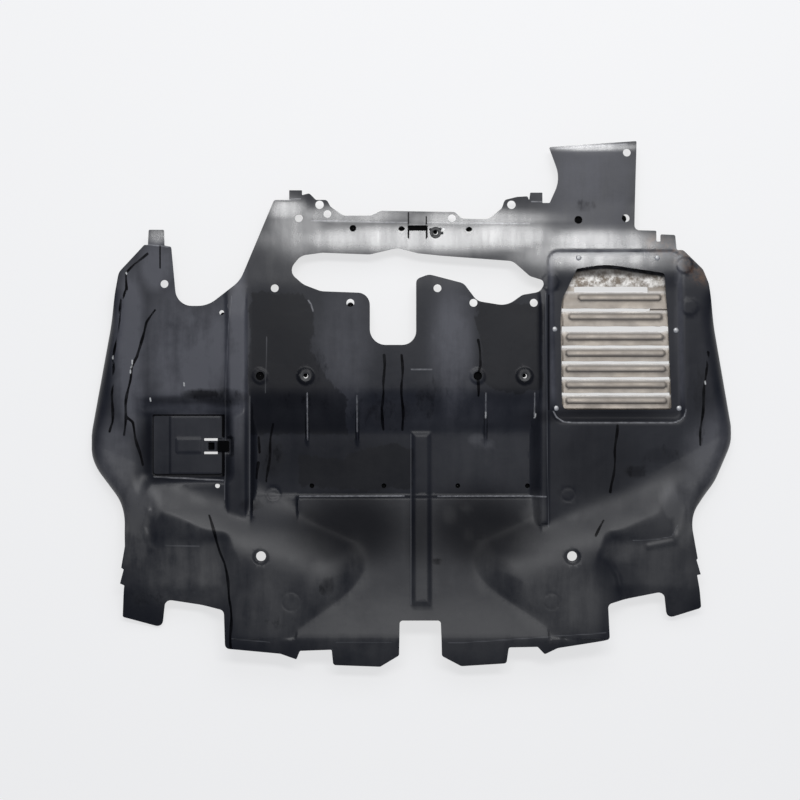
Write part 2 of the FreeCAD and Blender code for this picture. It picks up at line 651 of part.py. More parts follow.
def snap_tongue_cuts():
    """Slot and two slits that free the snap tongue on the rear rail."""
    left, right = SNAP_TONGUE_X
    low = -BLOCK_DEPTH
    slot = block((left - SNAP_SLIT, SNAP_SLOT_FRONT_Y, low),
                 (right + SNAP_SLIT, SNAP_SLOT_REAR_Y, ABOVE_Z))
    slit = block((left - SNAP_SLIT, SNAP_FRONT_Y, low), (left, SNAP_SLOT_REAR_Y, ABOVE_Z))
    other = slit.translated(Vector(right - left + SNAP_SLIT, 0, 0))
    return [slot, slit, other]


def gusset(x):
    """Upright rib across the long step of the centre floor."""
    half = GUSSET_WIDTH / 2
    sink = WALL / 2
    profile = [(GUSSET_REAR_Y, DECK_Z), (GUSSET_FRONT_Y, FLOOR_Z), (GUSSET_FRONT_Y, FLOOR_Z - sink),
               (STEP_FRONT_Y, FLOOR_Z - sink), (STEP_REAR_Y, DECK_Z - sink), (GUSSET_REAR_Y, DECK_Z - sink)]
    return across(profile, x - half, x + half)


def collar(place):
    """Raised boss that a clip hole is cut through."""
    return rod(place, CLIP_HOLE_RADIUS + COLLAR_WIDTH, DECK_Z - WALL / 2, DECK_Z + COLLAR_RISE)


def ring_lug(place):
    """Ring lug on the edge of the rear rail."""
    return rod(place, RING_OUTER_RADIUS, RAIL_Z - WALL, RAIL_Z)


def tab(place, top_z):
    """Locating tab on the rear edge."""
    x, y = place
    half_x = TAB_WIDTH / 2
    half_y = TAB_LENGTH / 2
    return block((x - half_x, y - half_y, top_z - WALL), (x + half_x, y + half_y, top_z))


def wing_lip():
    """Raised bead along the rear edge of the wing."""
    left, right = [Vector(x, y, RAIL_Z - WALL / 2) for x, y, _ in WING_REAR]
    inward = Vector(0, -WING_LIP_WIDTH, 0)
    face = planar_face([left, right, right + inward, left + inward])
    return face.extrude(Vector(0, 0, WING_LIP_RISE + WALL / 2))


def make_tray():
    """The moulded tray."""
    outline = REAR_EDGE + rolled_side(RIGHT_SIDE) + FRONT_EDGE + rolled_side(LEFT_SIDE)
    sheet = mould_form(0.0).cut(mould_form(WALL))
    sheet = sheet.common(plate(outline, -BLOCK_DEPTH / 2, ABOVE_Z))
    rail_plates = [tab(DECK_TAB, DECK_Z)] + [tab(place, RAIL_Z) for place in RAIL_TABS]
    rail_plates += [plate(hook, RAIL_Z - WALL, RAIL_Z) for hook in (LEFT_HOOK, RIGHT_HOOK)]
    rail_plates += [ring_lug(place) for place in RING_LUGS]
    solid = sheet.fuse(
        [skirt(RIGHT_SIDE), skirt(LEFT_SIDE), wing_lip()]
        + rail_plates
        + [gusset(x) for x in GUSSET_X]
        + [collar(place) for place in CLIP_HOLES + SLEEVE_HOLES]
    )
    cuts = [window(SUMP_OPENING), window(VENT_WINDOW), service_hole()] + snap_tongue_cuts()
    cuts += [through(place, FRONT_BOLT_RADIUS) for place in FRONT_BOLTS]
    cuts += [through(place, BODY_BOLT_RADIUS) for place in BODY_BOLTS + RAIL_BOLTS]
    cuts += [through(place, LOCATOR_RADIUS) for place in RAIL_LOCATORS]
    cuts += [through(place, CLIP_HOLE_RADIUS) for place in CLIP_HOLES]
    cuts += [sleeve_hole(place) for place in SLEEVE_HOLES]
    cuts.append(on_rear_slope(sleeve_hole((0, 0)), RAIL_SLEEVE_HOLE))
    cuts += [through(place, DRAIN_RADIUS) for place in DRAIN_HOLES]
    cuts += [through(place, RING_INNER_RADIUS) for place in RING_LUGS]
    cuts += [fastener_hole(place, RIVET_SHANK_RADIUS + RIVET_CLEARANCE) for place in RIVETS]
    cuts += [fastener_hole(place, PEG_RADIUS + PEG_CLEARANCE) for place in PEGS]
    return solid.cut(cuts).removeSplitter()


def dish_z(y):
    """Height of the louvred panel's field: deep at its rear edge, nearly flush from its middle forwards."""
    share = max(0.0, (y - SHIELD_DISH_FLAT_Y) / (SHIELD_DISH_REAR_Y - SHIELD_DISH_FLAT_Y))
    return SHIELD_TOP_Z - SHIELD_DISH_DEPTH - share * (SHIELD_DISH_REAR_DEPTH - SHIELD_DISH_DEPTH)


def slats():
    """Rear and front edge of each slat, between one slot and the next."""
    rear = [y - height for y, height in zip(SLOT_REAR_Y, SLOT_HEIGHT)]
    return list(zip(rear, SLOT_REAR_Y[1:] + [LAST_SLAT_FRONT_Y]))


def slat_form(rear_y, front_y, skin):
    """One slat, set back at its rear edge and nearly flush at its front edge, with a long bead whose ends
    are chamfered."""
    low = SHIELD_TOP_Z - BLOCK_DEPTH
    profile = [(rear_y, low), (rear_y, dish_z(rear_y)),
               (front_y, dish_z(front_y) + SLAT_RISE), (front_y, low)]
    skins = moved_sides(profile, [-skin, -skin, -skin, 0.0])
    blade = across(skins, SLAT_X[0] + skin, SLAT_X[1] - skin)
    bead_top = across(moved_sides(profile, [0.0, SLAT_BEAD_RISE - skin, 0.0, 0.0]), *SLAT_X)
    left, right = SLAT_BEAD_X
    rear = rear_y - SLAT_BEAD_SETBACK
    front = rear - SLAT_BEAD_HEIGHT
    end = SLAT_BEAD_END
    plan = [(left + end, rear), (right - end, rear), (right, rear - end), (right, front + end),
            (right - end, front), (left + end, front), (left, front + end), (left, rear - end)]
    corners = [(x, y, 0) for x, y in moved_sides(plan, [-skin] * 8)]
    return blade.fuse(plate(corners, low, ABOVE_Z).common(bead_top))


def shield_form(skin):
    """The louvred panel as a full block under its road face, drawn in by a skin all over."""
    spread = 1.0 + skin / BLOCK_DEPTH
    form = block((0, -BLOCK_HALF_Y * spread, -BLOCK_DEPTH * spread),
                 (BLOCK_HALF_X * spread, BLOCK_HALF_Y * spread, SHIELD_TOP_Z - skin))
    profile = [(SHIELD_DISH_REAR_Y, ABOVE_Z), (SHIELD_DISH_REAR_Y, dish_z(SHIELD_DISH_REAR_Y)),
               (SHIELD_DISH_FLAT_Y, dish_z(SHIELD_DISH_FLAT_Y)),
               (SHIELD_DISH_FRONT_Y, dish_z(SHIELD_DISH_FRONT_Y)), (SHIELD_DISH_FRONT_Y, ABOVE_Z)]
    profile = moved_sides(profile, [skin, skin, skin, skin, 0.0])
    form = form.cut(across(profile, SHIELD_DISH_X[0] - skin, SHIELD_DISH_X[1] + skin))
    return form.fuse([slat_form(rear, front, skin) for rear, front in slats()])


def make_heat_shield():
    """Louvred aluminium panel behind the window: a flange, a dished field and slats between open slots."""
    sheet = shield_form(0.0).cut(shield_form(SHIELD_THICKNESS))
    edge = moved_sides(VENT_RECESS, [-SHIELD_EDGE_GAP] * 4)
    corners = [(x, y, SHIELD_CORNER_RADIUS) for x, y in edge]
    sheet = sheet.common(plate(corners, -BLOCK_DEPTH / 2, ABOVE_Z))
    cuts = [fastener_hole(place, RIVET_SHANK_RADIUS + RIVET_CLEARANCE) for place in RIVETS]
    for rear_y, height in zip(SLOT_REAR_Y, SLOT_HEIGHT):
        cuts.append(block((SLAT_X[0], rear_y - height, -BLOCK_DEPTH), (SLAT_X[1], rear_y, ABOVE_Z)))
    return sheet.cut(cuts).removeSplitter()


def make_heat_shield_rivets():
    """Six blind rivets: a flat head on the road face, and a set tail behind the panel."""
    tail_z = SHIELD_TOP_Z - SHIELD_THICKNESS
    low = tail_z - RIVET_TAIL_LENGTH
    rivets = []
    for place in RIVETS:
        head = fastener(place, RIVET_HEAD_RADIUS, VENT_Z, VENT_Z + RIVET_HEAD_HEIGHT)
        shank = fastener(place, RIVET_SHANK_RADIUS, low, VENT_Z)
        tail = fastener(place, RIVET_TAIL_RADIUS, low, tail_z)
        rivets.append(head.fuse([shank, tail]).removeSplitter())
    return Part.makeCompound(rivets)


def make_access_door():
    """Service door with its snap tongue, finger grip and raised panel."""
    left = HINGE_X + HINGE_BEAD_RADIUS + HINGE_CLEARANCE
    r = DOOR_CORNER_RADIUS
    leaf = plate([(left, DOOR_REAR_Y, 0), (DOOR_RIGHT_X, DOOR_REAR_Y, r),
                  (DOOR_RIGHT_X, DOOR_FRONT_Y, r), (left, DOOR_FRONT_Y, 0)], DOOR_LOW_Z, DOOR_TOP_Z)
    half = TONGUE_WIDTH / 2
    slits = []
    for edge in (TONGUE_Y + half, TONGUE_Y - half - TONGUE_SLIT):
        slits.append(block((TONGUE_ROOT_X, edge, DOOR_LOW_Z - WALL),
                           (DOOR_RIGHT_X + WALL, edge + TONGUE_SLIT, ABOVE_Z)))
    tongue = block((TONGUE_ROOT_X, TONGUE_Y - half, DOOR_LOW_Z),
                   (TONGUE_TIP_X, TONGUE_Y + half, DOOR_TOP_Z))
    panel = block((DOOR_PANEL_X[0], DOOR_PANEL_Y[0], DOOR_LOW_Z),
                  (DOOR_PANEL_X[1], DOOR_PANEL_Y[1], DOOR_TOP_Z + DOOR_PANEL_RISE))
    half = GRIP_WIDTH / 2
    low = DOOR_TOP_Z - GRIP_DEPTH
    grip = block((GRIP_X[0], TONGUE_Y - half, low), (GRIP_X[1], TONGUE_Y + half, DOOR_TOP_Z))
    half -= GRIP_WALL
    pocket = block((GRIP_X[0] + GRIP_WALL, TONGUE_Y - half, low + GRIP_WALL),
                   (GRIP_X[1] - GRIP_WALL, TONGUE_Y + half, ABOVE_Z))
    return leaf.cut(slits).fuse([tongue, panel, grip]).cut(pocket).removeSplitter()


def make_door_hinge_strip():
    """Fixed leaf beside the door: the round bead of the film hinge, and two pegs set through the tray."""
    r = DOOR_CORNER_RADIUS
    leaf = plate([(DOOR_LEFT_X, DOOR_REAR_Y, r), (HINGE_X, DOOR_REAR_Y, 0),
                  (HINGE_X, DOOR_FRONT_Y, 0), (DOOR_LEFT_X, DOOR_FRONT_Y, r)], DOOR_FLOOR_Z, DOOR_TOP_Z)
    hinge_bead = Part.makeCylinder(HINGE_BEAD_RADIUS, DOOR_REAR_Y - DOOR_FRONT_Y,
                                   Vector(HINGE_X, DOOR_FRONT_Y, DOOR_TOP_Z), Vector(0, 1, 0))
    pegs = []
    head_z = DOOR_FLOOR_Z - WALL
    for place in PEGS:
        pegs.append(fastener(place, PEG_RADIUS, head_z - PEG_HEAD_HEIGHT, DOOR_FLOOR_Z))
        pegs.append(fastener(place, PEG_HEAD_RADIUS, head_z - PEG_HEAD_HEIGHT, head_z))
    return leaf.fuse([hinge_bead] + pegs).removeSplitter()


def sleeve_bar(radius, low_z, high_z):
    """Upright bar of a clip sleeve that stands at the origin."""
    return prism((0, 0), radius, SLEEVE_SIDES, low_z, high_z)


def clip_sleeve():
    """Sleeve of a push clip whose pin is gone, standing at the origin: a flange and four spread legs."""
    sleeve = sleeve_bar(SLEEVE_FLANGE_RADIUS, 0, SLEEVE_FLANGE_HEIGHT)
    sleeve = sleeve.fuse(sleeve_bar(CLIP_HOLE_RADIUS - SLEEVE_CLEARANCE, -SLEEVE_LENGTH, 0))
    sleeve = sleeve.cut(sleeve_bar(SLEEVE_BORE_RADIUS, -SLEEVE_LENGTH, SLEEVE_FLANGE_HEIGHT))
    half = SLEEVE_SLIT / 2
    reach = CLIP_HOLE_RADIUS
    slits = [block((-half, -reach, -SLEEVE_LENGTH), (half, reach, 0)),
             block((-reach, -half, -SLEEVE_LENGTH), (reach, half, 0))]
    return sleeve.cut(slits).removeSplitter()


def make_clip_sleeves():
    """Three clip sleeves, two on the centre panel and one on the rear slope."""
    sleeves = [clip_sleeve().translated(Vector(x, y, DECK_Z + COLLAR_RISE)) for x, y in SLEEVE_HOLES]
    sleeves.append(on_rear_slope(clip_sleeve(), RAIL_SLEEVE_HOLE))
    return Part.makeCompound(sleeves)


def main():
    """Builds every piece, puts the origin under the middle of the tray and writes the pieces."""
    parts = {
        "tray": make_tray(),
        "heat_shield": make_heat_shield(),
        "heat_shield_rivets": make_heat_shield_rivets(),
        "access_door": make_access_door(),
        "door_hinge_strip": make_door_hinge_strip(),
        "clip_sleeves": make_clip_sleeves(),
    }
    middle = parts["tray"].optimalBoundingBox().Center
    os.makedirs("parts", exist_ok=True)
    for name, shape in parts.items():
        placed = shape.translated(Vector(-middle.x, -middle.y, 0))
        print(name, placed.isValid(), len(placed.Solids), round(placed.Volume / 1000, 2), "cm3")
        placed.exportStep(f"parts/{name}.step")


main()
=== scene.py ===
"""Looks of an engine undertray: a moulded black tray with a louvred heat shield and a service door."""
import math

import bmesh
import bpy
import numpy as np
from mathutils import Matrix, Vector
from mathutils.geometry import delaunay_2d_cdt


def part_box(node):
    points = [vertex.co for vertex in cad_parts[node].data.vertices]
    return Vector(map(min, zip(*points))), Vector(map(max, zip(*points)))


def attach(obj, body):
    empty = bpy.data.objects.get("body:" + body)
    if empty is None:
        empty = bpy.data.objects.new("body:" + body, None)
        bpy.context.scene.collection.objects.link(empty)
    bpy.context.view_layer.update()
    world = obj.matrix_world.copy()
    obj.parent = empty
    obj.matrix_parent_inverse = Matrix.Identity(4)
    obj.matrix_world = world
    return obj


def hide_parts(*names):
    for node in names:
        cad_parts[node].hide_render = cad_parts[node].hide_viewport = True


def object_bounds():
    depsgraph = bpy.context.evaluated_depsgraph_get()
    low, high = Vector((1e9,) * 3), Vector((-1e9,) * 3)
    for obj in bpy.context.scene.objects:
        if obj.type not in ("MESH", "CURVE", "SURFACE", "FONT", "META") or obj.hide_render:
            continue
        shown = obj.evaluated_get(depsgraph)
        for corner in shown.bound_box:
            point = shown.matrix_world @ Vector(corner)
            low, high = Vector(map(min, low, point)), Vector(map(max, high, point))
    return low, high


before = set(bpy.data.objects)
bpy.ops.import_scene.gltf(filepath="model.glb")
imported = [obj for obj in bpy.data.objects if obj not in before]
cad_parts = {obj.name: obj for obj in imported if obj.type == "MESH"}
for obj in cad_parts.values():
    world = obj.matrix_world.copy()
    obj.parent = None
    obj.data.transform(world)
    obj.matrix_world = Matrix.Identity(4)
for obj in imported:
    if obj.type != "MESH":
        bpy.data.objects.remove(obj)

bl_info = {
    "name": "Engine Undertray",
    "version": (1, 0, 0),
    "blender": (4, 5, 0),
    "location": "View3D > Sidebar > Undertray",
    "description": "Builds the visible skins of a moulded engine undertray round its solid model",
    "category": "Add Mesh",
}

CAD_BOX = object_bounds()
MM = 0.001

# The plan is drawn in millimetres, x across the car and y to the rear. The hinge strip places the drawing
STRIP_CORNER = (-426.0, -115.0)
strip_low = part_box("door_hinge_strip")[0]
PLAN_SHIFT = np.array([strip_low.x - STRIP_CORNER[0] * MM, strip_low.y - STRIP_CORNER[1] * MM])

# One pixel of the photograph at the deck, and the pixel that lies on the drawing's origin
PIXEL = 1.64
PIXEL_ORIGIN = (412.5, 404.0)
PHOTO_MIDDLE = (400.0, 400.0)
PHOTO_WIDTH = 800

# Levels of the road face above the ground, with the rises, falls and runs that belong to them
DECK_Z = 42.0
FLOOR_Z = 22.0
CHEEK_Z = 66.0
WING_Z = 50.0
RAIL_Z = 33.0
VENT_Z = 37.0
VENT_REAR_RISE = 2.2
VENT_WALL_RUN = 1.5
RAIL_FALL = 0.055
RAIL_FALL_LENGTH = 35.0
ARM_FALL = 0.0375
ARM_X = (-178.0, -160.0)
DOOR_FLOOR_Z = 28.0
DOOR_TOP_Z = 30.8
LEDGE_RISE = 5.0
LEDGE_FADE = 4.0

# Folds across the tray
STEP_REAR_Y = 15.0
STEP_FRONT_Y = -43.0
LEDGE_Y = -153.0
LEDGE_X = (-188.0, 220.0)
FRONT_FOLD_Y = -384.0
FRONT_LIP_FALL = 0.5
REAR_SLOPE_Y = 198.0
REAR_FOLD_Y = 295.0
REAR_FALL = (DECK_Z - RAIL_Z) / (REAR_FOLD_Y - REAR_SLOPE_Y)
RECESS_MOUTH_X = -361.5
RECESS_MOUTH_HALF = 6.0
REAR_TAB_X = -400.0
REAR_TAB_Y = 262.0
REAR_TAB_FALL = 0.1
WING_FOLD_Y = -300.0
WING_TAB_FALL = 0.6
SKIRT_REAR_Y = 190.0
SKIRT_FRONT_Y = -212.0
SKIRT_FADE = 75.0
ROLL_TURN = np.linspace(0.0, math.pi / 2, 9)
EDGE_STEP = 4.0

# Outline corners as x, y and corner radius, clockwise seen from the road side
REAR_EDGE = [
    (-482, 216, 20), (-440, 261, 3), (-434, 261, 1), (-433, 286, 2), (-408, 286, 2), (-407, 260, 1),
    (-396, 258, 3), (-387, 161, 36), (-336, 161, 48), (-283, 202, 49), (-228, 336, 5), (-203, 336, 1),
    (-203, 352, 1), (-182, 352, 1), (-182, 344, 1), (-170, 347, 4), (-159, 336, 4), (-141, 336, 6),
    (-135, 325, 5), (-114, 310, 15), (-68, 310, 11), (-52, 318, 7), (70, 316, 7), (81, 305, 8),
    (125, 304, 15), (147, 322, 7), (152, 336, 6), (172, 341, 5), (190, 342, 3), (192, 333, 2),
    (194, 348, 1), (214, 348, 1), (214, 331, 1), (226, 331, 2), (244, 371, 74), (225, 423, 2),
    (369, 433, 2), (365, 286, 8), (401, 285, 2), (401, 267, 2), (408, 267, 2), (408, 279, 2),
    (432, 278, 3), (434, 253, 3), (445, 253, 8), (477, 221, 16), (486, 198, 16),
]
RIGHT_SIDE = [(486, 198, 0), (530, -57, 80), (499, -128, 100), (455, -187, 55), (467, -253, 0)]
FRONT_EDGE = [
    (467, -253, 1), (465, -255, 1), (472, -279, 1), (466, -280, 1), (476, -336, 5), (421, -355, 10),
    (412, -307, 11), (319, -327, 7), (322, -384, 5), (237, -398, 16), (216, -409, 3), (204, -396, 3),
    (157, -397, 3), (154, -425, 5), (80, -430, 7), (48, -412, 5), (46, -353, 5), (-21, -353, 5),
    (-22, -411, 5), (-53, -431, 5), (-130, -428, 5), (-132, -401, 2), (-184, -403, 3), (-190, -418, 2),
    (-216, -408, 13), (-306, -399, 8), (-308, -337, 8), (-406, -321, 11), (-415, -371, 10), (-479, -352, 3),
    (-472, -297, 1), (-479, -294, 1), (-473, -271, 1), (-477, -268, 1), (-471, -233, 3),
]
LEFT_SIDE = [(-471, -233, 0), (-471.5, -173, 90), (-537, -86, 88), (-482, 216, 0)]
SUMP_OPENING = [
    (-204, 218, 16), (-184, 244, 23), (-148, 249, 13), (-70, 246, 23), (-25, 257, 10), (9, 248, 10),
    (47, 244, 13), (165, 235, 20), (193, 210, 13), (219, 202, 11), (209, 184, 13), (180, 179, 13),
    (155, 161, 36), (106, 169, 20), (84, 198, 15), (27, 213, 18), (6, 205, 9), (6, 97, 23),
    (-70, 97, 26), (-70, 182, 20), (-150, 185, 33), (-179, 196, 33),
]
VENT_WINDOW = [
    (270, 222, 4), (316, 230, 150), (414, 215, 6), (420, 139, 200), (426, -9, 5),
    (246, -9, 10), (243, 140, 90), (246, 172, 20),
]
SERVICE_HOLE = [(-392, -26, 6), (-321, -26, 6), (-321, -109, 6), (-392, -109, 6)]
SNAP_SLOT = [
    (-8, 294, 0), (25, 294, 0), (25, 269, 0), (23, 269, 0), (23, 285, 0), (-6, 285, 0), (-6, 269, 0),
    (-8, 269, 0),
]

# Relief of the tray
FLOOR_LEFT_X = -262.0
FLOOR_RIGHT_X = 207.0
FLOOR_SIDE_RUN = 0.14
# Centre rib as its left, right, rear and front
CENTRE_RIB = (-2.0, 31.0, -46.0, -330.0)
CENTRE_RIB_RISE = 3.6
GUSSET_X = (-173.0, -91.0, 120.0, 200.0)
GUSSET_WIDTH = 3.4
GUSSET_Y = (20.0, -70.0)
# Cheeks: corners, numbers of the outer and the inner side, x of the nose, and where their seam softens
CHEEKS = (
    ([(-412, -183), (-111, -279), (-215, -384), (-412, -384)], 3, 1, -125.0, (150.0, 270.0)),
    ([(139, -276), (402, -186), (402, -384), (258, -384)], 1, 3, 150.0, (180.0, 300.0)),
)
BAND_RUN = 1.8
OUTER_RUN = 1.5
INNER_RUN = 1.5
NOSE_RUN = 2.0
WING_INNER_X = (-318.0, 332.0)
WING_FLOOR_REAR_Y = -227.0
WING_FACET_RUN = (1.6, 4.6)
WING_WALL_RUN = 1.5
WING_POCKET_X = 416.0
# Lines where the side margins begin to rise to the front, each with its rising side on the right hand
SHOULDERS = [[(380, -120), (520, -45)], [(-530, -62), (-380, -130)]]
SHOULDER_RISE = 6.0
SHOULDER_SLOPE = 0.1
SHOULDER_X = (345.0, 420.0)
SHOULDER_FADE = 14.0
# Raised beads: corners, rise, and the rounding of their top and of their seam
BEADS = (
    ([(-303, 190), (-275, 190), (-274, -198), (-303, -190)], 5.0, 3.0, 2.0),
    ([(211, 187), (221, 187), (221, -195), (211, -195)], 4.0, 3.0, 2.0),
    ([(432, 255), (437, 255), (442, 8), (437, 8)], 2.0, 2.0, 1.5),
)
BEAD_SIDE_RUN = 0.7
VENT_RECESS = [(222, 252), (442, 252), (448, -31), (228, -31)]
VENT_CORNER = 18.0
DOOR_RECESS = [(-430, -15), (-309, -15), (-309, -120), (-430, -120)]
DOOR_CORNER = 8.0
DOOR_NOTCH = [(-314, -56), (-299, -56), (-299, -83), (-314, -83)]
# Rims round the pockets of the wings, in pixels of the photograph
WING_RIMS = [[(685, 510), (682, 527), (673, 541), (648, 546)], [(149, 510), (144, 526), (151, 548)],
             [(606, 556), (617, 575), (622, 596)]]
WING_RIM_RISE = 2.5
WING_LIP = ((225.0, 423.0), (369.0, 433.0))
WING_LIP_FALL = 0.05
WING_LIP_REACH = 12.0

# Round holes as x and y, some with a radius of their own
FRONT_BOLTS = [(-247, -248, 8), (260, -248, 8)]
CUP_DEPTH = 5.0
CUP_RADIUS = 11.5
BODY_BOLT_RADIUS = 6.5
LOCATOR_RADIUS = 5.5
CLIP_HOLE_RADIUS = 7.0
DRAIN_RADIUS = 4.0
PEG_HOLE_RADIUS = 3.1
BODY_BOLTS = [
    (-407, 197), (-226, 190), (41, 190), (-102, 166), (100, 166), (199, 166), (-187, 306), (351, 306),
    (65, 306), (353, 414), (-140, 313), (273, 303),
]
RAIL_LOCATORS = [(-98, 289), (-18, 287), (93, 286)]
CLIP_HOLES = [(-250, 46), (107, 46)]
SLEEVE_HOLES = [(-175, 46), (184, 46)]
RAIL_SLEEVE_HOLE = (38, 282)
CLIP_BITS = [(30, 287), (33, 277.5), (45.5, 288), (48.5, 281)]
DRAIN_HOLES = [(-320, -134), (-166, -135), (-47, -135), (75, -135), (190, -135), (-313, 150)]
# Black discs of painted shadow a little behind holes that show dark, as x, y and radius
DARK_HOLES = [
    (-98, 289, 6.4), (-18, 291.5, 6.5), (93, 290.5, 6.5), (273, 303, 7.4), (346, 305, 6.6),
    (37.5, 283, 3.3), (-175.6, 47, 3.4), (183, 47, 3.4), (-102, 161.5, 5.5), (-250, 46, 7.8),
    (107, 46, 7.8), (-166, -135, 5), (-47, -135, 5), (75, -135, 5), (190, -135, 5), (-311, 146, 4.5),
    (8.5, 284, 19),
]
HOLE_SHADOW_DEPTH = 5.5
RING_LUGS = [(-153, 328), (163, 328)]
PEG_HOLES = [(-414, -38), (-414, -97)]
COLLAR_RADIUS = 11.5
COLLAR_RISE = 3.0

# Marks that the mould left as x, y and radius: rings sunk in the face, and low round bosses
MOULD_RINGS = [(255, -148, 11), (-230, -149, 11), (-198, -321, 15), (226, -321, 13)]
EDGE_BOSSES = [(447, 228, 13), (455, 159, 13), (226, 200, 14)]
MOULD_RING_DEPTH = 0.7
EDGE_BOSS_RISE = 1.2

# Louvred panel
SHIELD_TOP_Z = 34.0
SHIELD_EDGE = [(227, 247, 12), (438, 247, 12), (444, -27, 12), (232, -27, 12)]
# Dish of the panel: left, right, rear, the line where it stops falling, and front; then its two depths
SHIELD_DISH = (243.0, 427.0, 229.0, 125.0, -12.0)
SHIELD_DISH_DEPTH = (14.0, 4.0)
SLAT_X = (246.0, 425.0)
SLAT_RISE = 3.5
SLAT_BEAD_X = (
    (273.0, 410.0), (257.0, 411.0), (253.0, 413.0), (252.0, 416.0), (252.0, 417.0), (252.0, 418.0),
    (252.0, 418.5),
)
SLAT_BEAD_HALF = 5.5
SLAT_BEAD_RISE = 2.6
SLAT_BEAD_SETBACK = 8.5
# Rear and front edge of each slot
SLOT_Y = [
    (193.5, 184.0), (157.4, 152.4), (128.0, 119.0), (96.3, 92.1), (70.4, 66.2), (44.3, 40.1),
    (18.4, 14.2),
]
SLOT_START_X = (267.0, 246.0, 246.0, 246.0, 246.0, 246.0, 246.0)
SLOT_END_X = (388.0, 391.0, 421.0, 422.0, 422.5, 423.0, 423.5)
SLOT_TEAR = (5.0, 6.0, 9.0, 1.0, 1.0, 1.0, 1.0)
LAST_SLAT_FRONT_Y = -6.0
RIVETS = [(273, 240), (402, 240), (233.5, 123), (433, 121), (236, -7), (438, -7)]

# Service door and hinge strip
HINGE_X = -400.0
HINGE_BEAD_RADIUS = 0.8
DOOR_EDGE = [
    (-398.9, -20, 0), (-314, -20, 4), (-314, -56.5, 1), (-343, -56.5, 1), (-343, -60.5, 1),
    (-302, -60.5, 2), (-302, -78.5, 2), (-343, -78.5, 1), (-343, -82.5, 1), (-314, -82.5, 1),
    (-314, -115, 4), (-398.9, -115, 0),
]
DOOR_PANEL = [(-389, -57), (-348, -57), (-348, -80), (-389, -80)]
TONGUE_END = [(-321, -58), (-300, -58), (-300, -81), (-321, -81)]
GRIP_POCKET = [(-335.5, -64), (-326.5, -64), (-326.5, -75), (-335.5, -75)]
DOOR_LEAF = [(-398.9, -20), (-314, -20), (-314, -115), (-398.9, -115)]
PANEL_RISE = 1.0
GRIP_DEPTH = 6.5
STRIP_EDGE = [(-426, -20, 4), (-399.3, -20, 0), (-399.3, -115, 0), (-426, -115, 4)]

# Profiles of the turned pieces as radius and height
RIVET_PROFILE = [(0.02, -8.7), (3.0, -8.7), (3.0, -5.2), (2.0, -5.2), (2.0, 0.0), (4.4, 0.0), (4.4, 0.4)]
RIVET_PROFILE += [(4.4 * math.cos(t), 0.4 + 1.4 * math.sin(t)) for t in (0.5, 0.9, 1.15)]
RIVET_PROFILE += [(1.1, 1.75), (0.9, 1.3), (0.02, 1.25)]
RIVET_GAP = 0.1
SLEEVE_PROFILE = [
    (4.0, -9.0), (6.6, -9.0), (6.8, -0.1), (9.5, 0.0), (9.5, 1.2), (9.0, 1.6), (4.8, 1.6), (4.0, 1.0),
    (4.0, -9.0),
]
CLIP_BIT_PROFILE = [(0.02, -0.5), (2.6, -0.5), (2.3, 1.4), (1.0, 2.2), (0.02, 2.3)]
HOLE_SHADOW_PROFILE = [(0.02, -1.0), (1.0, -1.0), (1.0, 0.0), (0.9, 0.2), (0.02, 0.2)]

# Vertices nearer than this are one, edges bent more than this are sharp, smaller triangles are left out
WELD_GAP = 0.01
SHARP_ANGLE = 38.0
SLIVER_AREA = 0.01

# How far from its stroke a mark is kept on the mesh
MARK_REACH = 6.0
# Half the soft edge of a stroke, as a share of that reach
STROKE_SOFTNESS = 0.07

# Wear and dirt on the tray, with painted highlights, glints and shadows, followed on the photograph, in its
# pixels
WET_RUNS = [
    [(147, 253.6), (134, 264.5), (126.6, 273), (126, 289), (121, 300), (119.7, 322), (115.8, 343.6),
     (113.6, 359), (112.5, 380.5), (112.5, 404), (112, 422), (110, 431.5)],
    [(154.8, 310), (147.2, 322), (140.7, 341.5), (137.5, 356.7), (132, 367.5), (128.8, 385), (126, 404.4),
     (125, 419.6), (124.5, 435)],
    [(126, 417), (132, 422), (135.3, 437), (139.7, 452), (141.8, 465)],
    [(210, 515), (217, 540), (225, 562), (230, 590), (232, 605), (232, 648)],
    [(384, 355), (384, 392), (381, 408), (384, 430)], [(402, 355), (402, 395), (403, 430)],
    [(478, 340), (481, 365), (478, 378), (478, 396)], [(272, 424), (269, 450), (266, 482)],
    [(617, 425), (615, 460), (611, 492)], [(603, 520), (599, 528), (595, 535)],
    [(709, 352), (706, 370), (705, 385), (703, 405), (702, 419), (700, 445)], [(258.4, 437), (258, 453)],
    [(257, 463), (256.4, 479)],
]
# Chips, and painted glints at the lit tips of the gussets
CHIPS_AND_GLINTS = [
    [(112.6, 356), (112.4, 359)], [(113, 362), (112.2, 368)], [(112, 370), (112, 371)],
    [(132.4, 360), (132, 364)], [(131.6, 366), (131, 368)], [(130.4, 370), (130.2, 373)],
    [(150, 398), (150.5, 401)], [(126, 272.5), (126.5, 274)], [(306, 374.5), (308, 378)],
    [(525, 375.5), (527, 379)], [(536, 414), (535, 418)], [(486, 412), (486, 418)],
    [(434, 231), (435, 232)], [(560, 262), (561, 263)], [(705, 381), (705.4, 384)],
    [(184, 383), (184.3, 386)], [(443, 228), (444, 229)],
]
